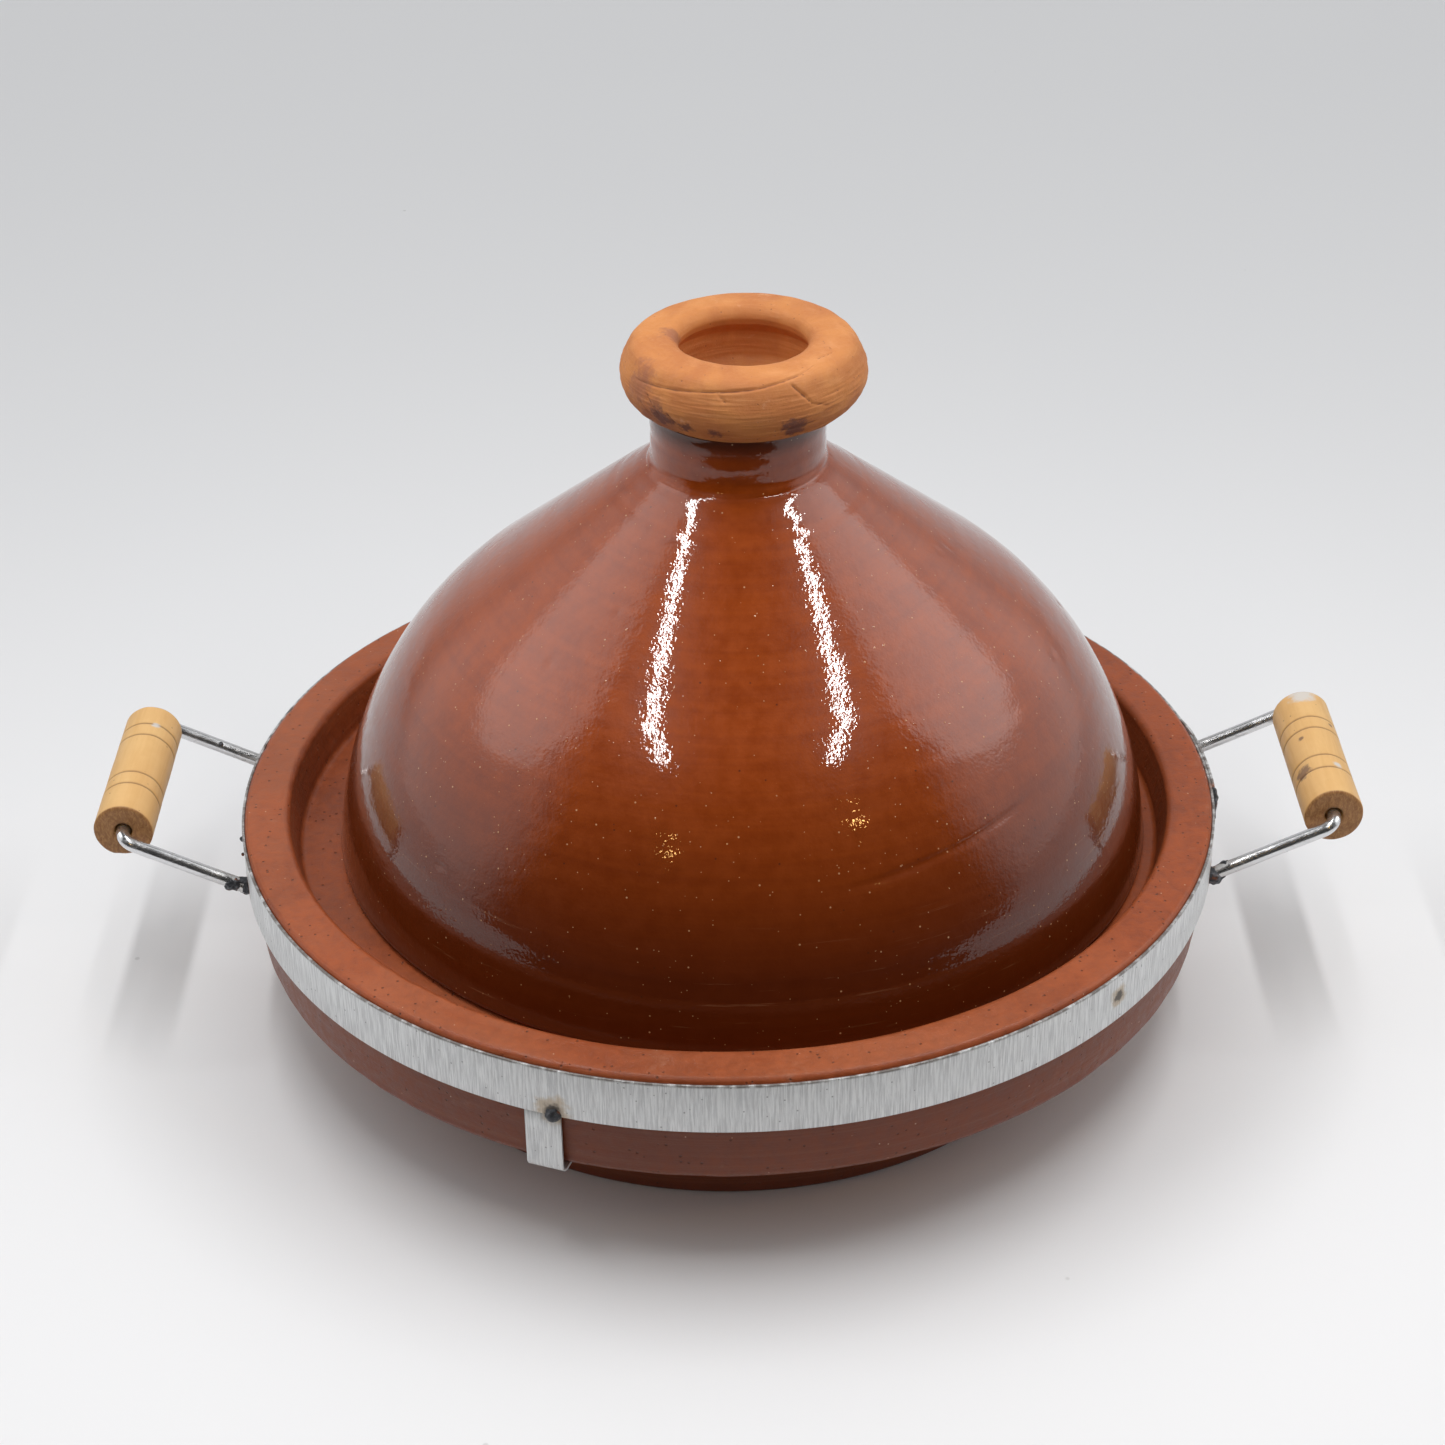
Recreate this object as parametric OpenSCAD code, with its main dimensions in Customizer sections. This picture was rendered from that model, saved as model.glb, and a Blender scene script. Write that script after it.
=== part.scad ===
// Clay cooking tagine in its steel carrier.
// A shallow terracotta dish stands on a flat foot. A glazed dome lid rests on the ledge
// inside the dish's rim, and its knob is a coil of clay with a closed well in the middle.
// A steel strip is sprung round the rim. Three bent tabs hook it under the clay, and two
// wire handles with loose wooden grips are welded to its sides.
// Frame: +Z up, origin on the ground under the middle of the dish, handles along X,
// front of the pot towards -Y.

/* [Dish] */
// Radius of the flat foot
foot_r = 134; // [120:1:150]
// Height of the top of the rim above the ground
rim_z = 86.4; // [70:0.1:100]
// Radius of the clay where the band grips it
rim_r = 178.9; // [165:0.1:190]
// Width of the flat top of the rim
rim_w = 16.7; // [12:0.1:24]
// Height of the lower edge of the rim's outer wall
skirt_z = 44.6; // [35:0.1:55]
// Radius of the clay at that lower edge
skirt_r = 176.4; // [160:0.1:180]
// Height of the ledge that carries the lid
ledge_z = 70; // [55:0.1:80]
// Inner radius of the ledge
ledge_r = 136; // [125:0.5:140]
// Radius of the curve between the bowl's wall and its floor
bowl_curve_r = 47; // [30:1:55]
// Thickness of the bowl's floor
floor_t = 13; // [9:0.5:18]

/* [Lid] */
// Outer radius of the dome at its widest
dome_r = 150.1; // [140:0.1:155]
// Radius of the dome's curve
dome_curve_r = 136; // [110:1:150]
// Height of the centre of the dome's curve
dome_curve_z = 61.5; // [50:0.5:80]
// Angle up the curve where the dome runs straight towards the neck
shoulder_a = 51.7; // [40:0.1:60]
// Radius of the upright neck under the knob
neck_r = 31.2; // [26:0.1:36]
// Height of the top of the neck, where the knob sits
neck_z = 240.3; // [225:0.1:255]
// Radius of the curve between the shoulder and the neck
neck_curve_r = 6; // [3:0.5:14]
// Thickness of the dome's wall
dome_t = 8; // [6:0.5:12]
// Thickness of clay that closes the neck
neck_cap_t = 10; // [6:0.5:14]
// How far the loose lid sits from the dish's axis, along X
lid_shift = 5.2; // [0:0.5:8]
// Gap between the lid and its ledge
seat_gap = 0.3; // [0.1:0.1:1]

/* [Knob] */
// Half the width of the clay coil
coil_r = 15.5; // [12:0.1:20]
// Half the height of the clay coil
coil_h = 13.3; // [10:0.1:18]
// Radius of the middle of the coil
coil_mid_r = 27.5; // [22:0.1:34]
// Radius of the lip of the well
lip_r = 22; // [16:0.1:26]
// Radius of the well's wall below the lip
well_r = 26; // [20:0.1:30]
// Thickness of the well's floor
well_floor_t = 3.4; // [2:0.1:6]
// How far the knob sits from the middle of the neck, along X
knob_shift = 2.1; // [0:0.1:3]

/* [Band] */
// Height of the steel strip
band_h = 19; // [14:0.5:26]
// Thickness of the strip
band_t = 1; // [0.6:0.1:2]
// Height of the strip's top edge
band_top = 84.5; // [75:0.1:95]
// Play between the clay and the strip
band_gap = 0.1; // [0.05:0.05:0.5]
// Angle of the outer end of the strip's lap, from +X
lap_start = -2; // [-20:1:20]
// Angle that the lap covers
lap_a = 12; // [6:1:30]

/* [Tabs] */
// Angle of the front tab from +X; the other two follow at thirds of a turn
tab_a = -110.4; // [-130:0.1:-90]
// Width of a tab
tab_w = 13; // [8:0.5:20]
// Thickness of a tab
tab_t = 1; // [0.6:0.1:2]
// Height of the end tucked behind the band
tab_top = 71; // [66:0.5:75]
// Radius where the tab's tongue ends under the rim
tongue_r = 160; // [150:1:170]
// Radius of the round weld on a tab's corner
stud_r = 3.3; // [2:0.1:5]

/* [Handles] */
// Radius of the handle wire
wire_r = 2.5; // [2:0.1:4]
// Half the distance between a handle's two rods
rod_y = 40.8; // [34:0.1:50]
// Radius of the wire's bends
bend_r = 5.5; // [4:0.5:12]
// Distance of the crossbar from the dish's axis
bar_x = 219.4; // [205:0.1:235]
// Height of the crossbar
bar_z = 89.2; // [80:0.1:110]
// Height where the rods meet the band
rod_z = 68; // [66:0.5:82]

/* [Grips] */
// Radius of a wooden grip
grip_r = 10.8; // [8:0.1:14]
// Length of a grip
grip_l = 70; // [55:1:90]
// Radius of the hole through a grip
grip_hole_r = 3.3; // [2.7:0.1:5]
// Depth of the turned grooves
groove_d = 0.5; // [0.2:0.1:1]
// Groove places on the left grip, as shares of its length from the back end
grooves_left = [0.175, 0.285, 0.655, 0.765];
// Groove places on the right grip, as shares of its length from the back end
grooves_right = [0.26, 0.37, 0.64, 0.76];

/* [Hidden] */
$fn = 96;
thirds = 120;
clay = [0.60, 0.29, 0.16];
glaze = [0.52, 0.23, 0.08];
bare_clay = [0.88, 0.60, 0.36];
zinc = [0.72, 0.73, 0.73];
chrome = [0.80, 0.80, 0.80];
scale_grey = [0.27, 0.27, 0.29];
wood = [0.88, 0.70, 0.43];

band_in = rim_r + band_gap;
band_out = band_in + band_t;
band_low = band_top - band_h;
lap_gap = 0.05;                     // between the lap and the strip under it
fuse = 0.4;                         // how deep weld metal reaches into the band

dome_c = [dome_r - dome_curve_r, dome_curve_z];
shoulder_n = [cos(shoulder_a), sin(shoulder_a)];
shoulder_p = dome_c + dome_curve_r * shoulder_n;
shoulder_l = (shoulder_p[0] - neck_r - neck_curve_r * (1 - shoulder_n[0])) / shoulder_n[1];
neck_c = [neck_r + neck_curve_r,
          shoulder_p[1] + shoulder_l * shoulder_n[0] + neck_curve_r * shoulder_n[1]];
lid_z = ledge_z + seat_gap;
foot_round = 2;                     // rounding of the lid's lower edge

rod_x = sqrt(band_out * band_out - rod_y * rod_y);
rod_rise = atan2(bar_z - rod_z, bar_x - rod_x);
rod_len = norm([bar_z - rod_z, bar_x - rod_x]) + 2;

// Points of an arc round centre c, from angle a0 to a1 in n steps
function arc(c, r, a0, a1, n) =
    [for (i = [0 : n]) let (a = a0 + (a1 - a0) * i / n) c + r * [cos(a), sin(a)]];

// Turned dish: foot, cove, heavy rim, gallery with its ledge, and the bowl
module dish() {
    cove_r = 24;
    cove_c = [foot_r + 1.5 + cove_r, 17];
    inner_r = rim_r - rim_w;
    shoulder = 2.4;
    lip = 3;
    gallery_r = inner_r - 2.4;
    color(clay) rotate_extrude() polygon(concat(
        [[0, 0], [foot_r - 1, 0], [foot_r + 0.5, 1.5]],
        arc(cove_c, cove_r, 180, 98, 10),
        [[skirt_r - 2, skirt_z - 2.8], [skirt_r, skirt_z],
         [rim_r - 1.3, band_top - 12.5], [rim_r, band_top - 9.5]],
        arc([rim_r - shoulder, rim_z - shoulder], shoulder, 0, 90, 6),
        arc([inner_r + lip, rim_z - lip], lip, 90, 180, 6),
        arc([gallery_r - 2.4, ledge_z + 2.4], 2.4, 0, -90, 5),
        arc([ledge_r + 3, ledge_z - 3], 3, 90, 180, 5),
        arc([ledge_r - 1 - bowl_curve_r, floor_t + bowl_curve_r], bowl_curve_r, 0, -90, 14),
        [[0, floor_t - 0.5]]
    ));
}

// Hoop of flat strip sprung round the clay, with its outer end lapped over the right side
module rim_band() {
    color(zinc) {
        translate([0, 0, band_low]) difference() {
            cylinder(r = band_out, h = band_h, $fn = 360);
            translate([0, 0, -1]) cylinder(r = band_in, h = band_h + 2, $fn = 360);
        }
        rotate([0, 0, lap_start]) rotate_extrude(angle = lap_a)
            translate([band_out + lap_gap, band_low]) square([band_t, band_h]);
    }
}

// Lumpy bead turned round +Z: one radius for each step of pitch along it
module bead(radii, pitch) {
    last = len(radii) - 1;
    rotate_extrude() polygon(concat(
        [[0, 0]],
        [for (i = [0 : last]) [radii[i], i * pitch]],
        [[0, last * pitch]]
    ));
}

// Upright bead that closes the lap of the band
module band_lap_weld() {
    radii = [1.4, 2.1, 2.5, 2.2, 2.6, 2.8, 2.4, 2.7, 2.2, 1.5];
    color(scale_grey) difference() {
        rotate([0, 0, lap_start - 0.6]) translate([band_out + 0.1, 0, band_low + 0.5])
            bead(radii, (band_h - 1) / (len(radii) - 1));
        cylinder(r = band_out - fuse, h = 200, $fn = 720);
    }
}

// Strip tucked behind the band, bent under the rim's lower edge; a is its angle from +X
module tab(a) {
    in_r = rim_r - 1.15;
    bend_c = [in_r - 3, skirt_z - 1.2];
    out_r = in_r + tab_t;
    low = bend_c[1] - 3;
    color(zinc) rotate([0, 0, a]) rotate([90, 0, 0])
        linear_extrude(height = tab_w, center = true) polygon(concat(
            [[out_r, tab_top]],
            arc(bend_c, 3 + tab_t, 0, -90, 8),
            [[tongue_r, low - tab_t], [tongue_r, low]],
            arc(bend_c, 3, -90, 0, 8),
            [[in_r, tab_top]]
        ));
}

// Round plug weld that joins a tab's upper corner to the band's lower edge
module tab_weld(a) {
    in_r = rim_r - 0.9;
    proud = 4.2;
    color(scale_grey) rotate([0, 0, a + 1.4]) translate([in_r, 0, band_low]) intersection() {
        rotate([0, 90, 0]) cylinder(r = stud_r, h = proud);
        translate([proud - 5.8, 0, 0]) sphere(r = 5.8);
    }
}

// Right-hand handle wire: two rods rising from the band, two bends and the crossbar
module wire() {
    straight = rod_y - bend_r;
    color(chrome) difference() {
        translate([bar_x, 0, bar_z]) rotate([0, -rod_rise, 0]) {
            rotate([90, 0, 0]) cylinder(r = wire_r, h = 2 * straight, center = true);
            for (s = [-1, 1]) {
                translate([-rod_len, s * rod_y, 0]) rotate([0, 90, 0])
                    cylinder(r = wire_r, h = rod_len - bend_r);
                translate([-bend_r, s * straight, 0]) rotate([0, 0, s > 0 ? 0 : -90])
                    rotate_extrude(angle = 90) translate([bend_r, 0]) circle(r = wire_r);
            }
        }
        cylinder(r = band_out + 0.05, h = 200, $fn = 720);
    }
}

// Lump of weld round the end of a right-hand rod, where it meets the band. t is 1 for the
// back rod and -1 for the front one, and lean turns the lump off the rod's line.
module rod_weld(t, lean, radii) {
    root = 3;                       // starts this far inside the band, and is cut back to it
    color(scale_grey) difference() {
        translate([rod_x, t * rod_y, rod_z]) rotate([0, 90 - rod_rise + lean, 0])
            translate([0, 0, -root]) bead(radii, 1.5);
        cylinder(r = band_out - fuse, h = 200, $fn = 720);
    }
}

// Glazed dome: domed wall, straight shoulder, and a waisted neck closed at the top
module lid_dome() {
    start_a = asin((lid_z + foot_round - dome_c[1]) / dome_curve_r);
    in_curve_r = dome_curve_r - dome_t;
    in_start_a = asin((lid_z + foot_round - dome_c[1]) / in_curve_r);
    in_neck_r = neck_curve_r + dome_t;
    outer = arc(dome_c, dome_curve_r, start_a, shoulder_a, 20);
    inner = arc(dome_c, in_curve_r, shoulder_a, in_start_a, 20);
    color(glaze) translate([lid_shift, 0, 0]) rotate_extrude() polygon(concat(
        outer,
        arc(neck_c, neck_curve_r, 180 + shoulder_a, 180, 8),
        [[neck_r, neck_z], [0, neck_z], [0, neck_z - neck_cap_t],
         [neck_r - dome_t, neck_z - neck_cap_t]],
        arc(neck_c, in_neck_r, 180, 180 + shoulder_a, 8),
        inner,
        [[inner[20][0] + 1.2, lid_z], [outer[0][0] - 1.6, lid_z]]
    ));
}

// Bare clay coil, a little wider than tall, on top of the neck, hollowed into a shallow well
module knob() {
    lip = coil_mid_r - lip_r;
    floor_z = neck_z + well_floor_t;
    // the section is drawn round, with its middle at height 0, and then flattened
    round_half = concat(
        arc([coil_mid_r, 0], coil_r, -90, 90, 24),
        arc([coil_mid_r, coil_r - lip], lip, 90, 180, 8),
        [[lip_r + 0.8, coil_r - lip - 3], [well_r - 0.3, 2.5]]
    );
    color(bare_clay) translate([lid_shift + knob_shift, 0, 0]) rotate_extrude()
        polygon(concat(
            [[0, neck_z]],
            [for (p = round_half) [p[0], neck_z + coil_h + p[1] * coil_h / coil_r]],
            arc([well_r - 4, floor_z + 4], 4, 0, -90, 5),
            [[0, floor_z - 0.4]]
        ));
}

// Turned wooden grip on its crossbar, with V grooves at the given shares of its length
module grip(marks) {
    ease = 0.8;
    half = grip_l / 2;
    color(wood) translate([bar_x, 0, bar_z]) rotate([90, 0, 0]) rotate_extrude()
        polygon(concat(
            [[grip_hole_r, -half], [grip_r - ease, -half], [grip_r, -half + ease]],
            [for (m = marks, p = [[0, -0.6], [groove_d, 0], [0, 0.6]])
                [grip_r - p[0], m * grip_l - half + p[1]]],
            [[grip_r, half - ease], [grip_r - ease, half], [grip_hole_r, half]]
        ));
}

dish();
rim_band();
band_lap_weld();
tab(tab_a);  // tab_front
tab(tab_a + thirds);  // tab_right
tab(tab_a + 2 * thirds);  // tab_back
tab_weld(tab_a);  // tab_weld_front
tab_weld(tab_a + thirds);  // tab_weld_right
tab_weld(tab_a + 2 * thirds);  // tab_weld_back
mirror([1, 0, 0]) wire();  // wire_left
wire();  // wire_right
mirror([1, 0, 0])  // weld_left_front
    rod_weld(-1, 6, [3.2, 3.7, 4.1, 4.2, 3.8, 3.4, 3.6, 3.1]);
mirror([1, 0, 0])  // weld_left_back
    rod_weld(1, 9, [3.0, 3.6, 3.9, 3.7, 3.3, 3.2, 2.9]);
rod_weld(-1, 12, [3.6, 4.2, 4.7, 4.9, 4.6, 4.1, 4.3, 3.9, 3.1]);  // weld_right_front
rod_weld(1, 7, [2.9, 3.2, 3.4, 3.3, 3.1, 3.0, 2.8]);  // weld_right_back
lid_dome();
knob();
mirror([1, 0, 0]) grip(grooves_left);  // grip_left
grip(grooves_right);  // grip_right
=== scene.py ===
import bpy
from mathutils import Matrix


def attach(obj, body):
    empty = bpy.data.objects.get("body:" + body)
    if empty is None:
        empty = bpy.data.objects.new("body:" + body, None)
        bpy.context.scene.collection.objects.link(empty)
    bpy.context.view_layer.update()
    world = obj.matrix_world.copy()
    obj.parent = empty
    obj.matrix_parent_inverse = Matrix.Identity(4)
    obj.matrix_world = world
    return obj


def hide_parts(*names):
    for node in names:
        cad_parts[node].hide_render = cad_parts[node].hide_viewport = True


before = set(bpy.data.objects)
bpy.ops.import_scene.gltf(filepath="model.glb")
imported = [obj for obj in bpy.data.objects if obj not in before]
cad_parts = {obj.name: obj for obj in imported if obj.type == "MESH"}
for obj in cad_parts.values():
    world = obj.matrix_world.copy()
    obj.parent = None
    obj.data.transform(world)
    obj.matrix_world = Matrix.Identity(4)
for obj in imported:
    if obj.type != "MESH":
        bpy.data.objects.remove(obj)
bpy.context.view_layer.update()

import math
import random

import bmesh
import bpy
from bpy.props import FloatProperty, FloatVectorProperty, IntProperty, PointerProperty
from mathutils import Euler, Matrix, Vector, noise

bl_info = {
    "name": "Cooking Tagine",
    "version": (1, 0, 0),
    "blender": (4, 5, 0),
    "location": "3D View > Sidebar > Tagine",
    "description": "Builds a clay tagine in its steel carrier, on a pale floor",
    "category": "Add Mesh",
}


# Sizes and colours ---------------------------------------------------------------------

def length(name, default, description):
    """A length in metres that a user may change."""
    return FloatProperty(name=name, default=default, description=description,
                         unit="LENGTH", subtype="DISTANCE", min=0.0, precision=4)


def angle(name, degrees, description):
    """An angle that a user may change, given in degrees."""
    return FloatProperty(name=name, default=math.radians(degrees), description=description,
                         unit="ROTATION", subtype="ANGLE")


def colour(name, default, description):
    """A colour that a user may change."""
    return FloatVectorProperty(name=name, default=default, description=description,
                               subtype="COLOR", size=3, min=0.0, max=1.0)


class ClaySizes(bpy.types.PropertyGroup):
    foot_r: length("Foot radius", 0.134, "Radius of the dish's flat foot")
    rim_z: length("Rim height", 0.0864, "Top of the rim above the ground")
    rim_r: length("Rim radius", 0.1789, "Radius of the clay under the band")
    rim_w: length("Rim width", 0.0167, "Width of the rim's flat top")
    skirt_z: length("Skirt height", 0.0446, "Lower edge of the rim's outer wall")
    skirt_r: length("Skirt radius", 0.1764, "Radius at the skirt's lower edge")
    ledge_z: length("Ledge height", 0.070, "Ledge that carries the lid")
    ledge_r: length("Ledge radius", 0.136, "Inner radius of that ledge")
    bowl_curve_r: length("Bowl curve", 0.047, "Curve between bowl wall and floor")
    floor_t: length("Floor thickness", 0.013, "Clay under the bowl")
    dome_r: length("Dome radius", 0.1501, "Lid's outer radius at its widest")
    dome_curve_r: length("Dome curve", 0.136, "Radius of the dome's curve")
    dome_curve_z: length("Dome curve height", 0.0615, "Height of that curve's centre")
    shoulder_a: angle("Shoulder angle", 51.7, "Where the dome runs straight")
    neck_r: length("Neck radius", 0.0312, "Radius of the upright neck")
    neck_z: length("Neck height", 0.2403, "Top of the neck, where the knob sits")
    neck_curve_r: length("Neck curve", 0.006, "Curve between shoulder and neck")
    dome_t: length("Dome thickness", 0.008, "Thickness of the lid's wall")
    cap_t: length("Neck cap", 0.010, "Clay that closes the neck")
    lid_x: length("Lid shift", 0.0052, "How far the lid sits along X")
    seat_gap: length("Seat gap", 0.0003, "Gap between lid and ledge")
    coil_r: length("Coil width", 0.0155, "Half the width of the knob's clay coil")
    coil_h: length("Coil height", 0.0133, "Half the height of that coil")
    coil_mid_r: length("Coil middle", 0.0275, "Radius of the coil's middle line")
    lip_r: length("Well lip", 0.022, "Radius of the lip of the well")
    well_r: length("Well radius", 0.026, "Radius of the well under its lip")
    well_t: length("Well floor", 0.0034, "Thickness of the well's floor")
    knob_x: length("Knob shift", 0.0021, "How far the knob sits off the neck")
    turns: IntProperty(name="Turning steps", default=400, min=64, max=720,
                       description="Faces round each turned clay piece")


class CarrierSizes(bpy.types.PropertyGroup):
    band_h: length("Band height", 0.019, "Height of the steel strip")
    band_t: length("Band thickness", 0.001, "Thickness of the steel strip")
    band_top: length("Band top", 0.0845, "Height of the strip's top edge")
    band_gap: length("Band gap", 0.0001, "Play between clay and strip")
    lap_start: angle("Lap start", -2.0, "Outer end of the lap, from +X")
    lap_a: angle("Lap length", 12.0, "Angle that the lap covers")
    tab_a: angle("Front tab", -110.4, "Angle of the front tab from +X")
    tab_w: length("Tab width", 0.013, "Width of a tab")
    tab_t: length("Tab thickness", 0.001, "Thickness of a tab")
    tab_top: length("Tab top", 0.071, "Height of the end behind the band")
    tongue_r: length("Tongue radius", 0.160, "Where a tab's tongue ends")
    wire_r: length("Wire radius", 0.0025, "Radius of the handle wire")
    rod_y: length("Rod spacing", 0.0408, "Half the distance between two rods")
    bend_r: length("Wire bend", 0.0055, "Radius of the wire's bends")
    bar_x: length("Bar distance", 0.2194, "Crossbar from the dish's axis")
    bar_z: length("Bar height", 0.0892, "Height of the crossbar")
    rod_z: length("Rod foot", 0.068, "Height where a rod meets the band")


class GripSizes(bpy.types.PropertyGroup):
    grip_r: length("Grip radius", 0.0108, "Radius of a wooden grip")
    grip_l: length("Grip length", 0.070, "Length of a wooden grip")
    hole_r: length("Grip hole", 0.0033, "Radius of the hole through a grip")
    groove_d: length("Groove depth", 0.0005, "Depth of the turned grooves")
    marks_left: FloatVectorProperty(
        name="Left grooves", default=(0.175, 0.285, 0.655, 0.765), size=4,
        description="Groove places as shares of the length from the back end")
    marks_right: FloatVectorProperty(
        name="Right grooves", default=(0.26, 0.37, 0.64, 0.76), size=4,
        description="Groove places as shares of the length from the back end")


class PotColours(bpy.types.PropertyGroup):
    glaze_light: colour("Glaze, thin", (0.31, 0.053, 0.0024), "Glaze where it is thin")
    glaze_dark: colour("Glaze, thick", (0.205, 0.030, 0.0012), "Glaze where it pools")
    clay_light: colour("Fired clay", (0.34, 0.072, 0.017), "Fired clay, lighter parts")
    clay_dark: colour("Fired clay, dark", (0.215, 0.044, 0.0115), "Fired clay, darker parts")
    bare_light: colour("Bare clay", (0.56, 0.215, 0.058), "Unglazed clay of the knob")
    bare_dark: colour("Bare clay, dark", (0.46, 0.155, 0.042), "Its darker parts")
    smoke: colour("Smoke stain", (0.13, 0.045, 0.035), "Smoke stains on the knob")
    zinc: colour("Zinc", (0.80, 0.81, 0.81), "Galvanised strip")
    wire: colour("Bright wire", (0.72, 0.72, 0.73), "Plated handle wire")
    weld: colour("Weld metal", (0.045, 0.047, 0.053), "Burnt weld metal")
    rust: colour("Rust", (0.26, 0.075, 0.018), "Rust beside the welds")
    wood_light: colour("Wood", (0.70, 0.415, 0.155), "Pale wood")
    wood_dark: colour("Wood, dark", (0.655, 0.378, 0.134), "Darker grain of the wood")
    end_grain: colour("End grain", (0.27, 0.11, 0.03), "Sawn ends of the wood")
    floor: colour("Floor", (0.80, 0.80, 0.81), "Pale floor")


class StageSettings(bpy.types.PropertyGroup):
    camera_at: FloatVectorProperty(
        name="Camera place", default=(0.0, -0.91184, 0.67304), size=3,
        subtype="TRANSLATION", unit="LENGTH", description="Where the camera stands")
    pitch: angle("Pitch", 58.34, "Camera tilt up from looking straight down")
    yaw: angle("Yaw", 0.104, "Camera turn about the vertical")
    roll: angle("Roll", -0.805, "Camera roll about its own axis")
    lens: FloatProperty(name="Lens", default=72.39, min=10, unit="CAMERA",
                        description="Focal length in millimetres")
    strip_power: FloatProperty(name="Strip lamps", default=1.1, min=0,
                               description="Power of each overhead strip lamp, in watts")
    wall_power: FloatProperty(name="Side walls", default=0.32, min=0,
                              description="Power of each bright side wall, in watts")
    fill_power: FloatProperty(name="Soft fill", default=0.55, min=0,
                              description="Power of the soft light from above, in watts")
    room: FloatProperty(name="Room light", default=1.0, min=0,
                        description="Brightness of the light from all round")
    room_mirror: FloatProperty(name="Room in gloss", default=0.02, min=0,
                               description="Brightness of the room as gloss shows it")
    floor_front: length("Floor front", 0.40, "How far the floor runs before the pot")
    backdrop: FloatProperty(name="Backdrop", default=0.74, min=0,
                            description="Brightness of the room past the floor's edge")


# Node recipes --------------------------------------------------------------------------

class Recipe:
    """A node material, put together one ingredient at a time. Lengths are in metres."""

    def __init__(self, name):
        self.mat = bpy.data.materials.new(name)
        self.mat.use_nodes = True
        self.tree = self.mat.node_tree
        self.tree.nodes.clear()
        self.shader = self.add("ShaderNodeBsdfPrincipled")
        out = self.add("ShaderNodeOutputMaterial")
        self.tree.links.new(self.shader.outputs[0], out.inputs[0])
        self.place = self.add("ShaderNodeTexCoord").outputs["Object"]

    def add(self, kind, settings=(), **inputs):
        made = self.tree.nodes.new(kind)
        for key, value in dict(settings).items():
            setattr(made, key, value)
        for key, value in inputs.items():
            self.feed(made.inputs[key.replace("_", " ")], value)
        return made

    def feed(self, socket, value):
        if isinstance(value, bpy.types.NodeSocket):
            self.tree.links.new(value, socket)
        elif hasattr(value, "__len__") and len(value) == 3 and socket.type == "RGBA":
            socket.default_value = (*value, 1.0)
        else:
            socket.default_value = value

    def shade(self, **inputs):
        for key, value in inputs.items():
            self.feed(self.shader.inputs[key.replace("_", " ")], value)
        return self.mat

    def scaled(self, by, place=None):
        made = self.add("ShaderNodeMapping", Vector=place or self.place)
        made.inputs["Scale"].default_value = by
        return made.outputs[0]

    def noise(self, scale, detail=4.0, rough=0.5, warp=0.0, place=None):
        return self.add("ShaderNodeTexNoise", Vector=place or self.place, Scale=scale,
                        Detail=detail, Roughness=rough, Distortion=warp).outputs[0]

    def cells(self, scale, place=None):
        made = self.add("ShaderNodeTexVoronoi", Vector=place or self.place, Scale=scale)
        return made.outputs["Distance"], made.outputs["Color"]

    def maths(self, how, a, b=0.0, c=0.0):
        made = self.add("ShaderNodeMath", {"operation": how})
        for socket, value in zip(made.inputs, (a, b, c)):
            self.feed(socket, value)
        return made.outputs[0]

    def level(self, value, low, high, to_low=0.0, to_high=1.0):
        return self.add("ShaderNodeMapRange", {"interpolation_type": "SMOOTHSTEP"},
                        Value=value, From_Min=low, From_Max=high,
                        To_Min=to_low, To_Max=to_high).outputs[0]

    def mix(self, share, a, b, how="MIX"):
        made = self.add("ShaderNodeMix", {"data_type": "RGBA", "blend_type": how})
        for index, value in ((0, share), (6, a), (7, b)):
            self.feed(made.inputs[index], value)
        return made.outputs[2]

    def axes(self, place=None):
        return self.add("ShaderNodeSeparateXYZ", Vector=place or self.place).outputs

    def specks(self, scale, size, share):
        """Small dots: size is in cell widths, share says how many cells hold one."""
        distance, tint = self.cells(scale)
        picked = self.maths("GREATER_THAN", self.axes(tint)[0], 1.0 - share)
        return self.maths("MULTIPLY", self.level(distance, size, size * 0.4), picked)

    def spot(self, centre, size, ragged=0.5, grain=160.0):
        """1 within about size of a place, falling to 0 with a ragged edge."""
        far = self.add("ShaderNodeVectorMath", {"operation": "DISTANCE"})
        self.feed(far.inputs[0], self.place)
        far.inputs[1].default_value = centre
        torn = self.maths("MULTIPLY_ADD", self.noise(grain, 5.0, 0.65), size * ragged * 2,
                          -size * ragged)
        reach = self.maths("ADD", far.outputs["Value"], torn)
        return self.level(reach, size, size * 0.45)

    def most(self, *values):
        top = values[0]
        for value in values[1:]:
            top = self.maths("MAXIMUM", top, value)
        return top

    def unrolled(self, radius, along, up):
        """Place on an upright round wall, as (round it, up it), each with its own scale."""
        x, y, z = self.axes()
        turn = self.maths("ARCTAN2", y, x)
        made = self.add("ShaderNodeCombineXYZ", X=self.maths("MULTIPLY", turn, radius * along),
                        Y=self.maths("MULTIPLY", z, up))
        return made.outputs[0]

    def bumped(self, height, depth, strength=1.0, under=None):
        made = self.add("ShaderNodeBump", Height=height, Distance=depth, Strength=strength)
        if under is not None:
            self.feed(made.inputs["Normal"], under)
        return made.outputs[0]


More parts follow.
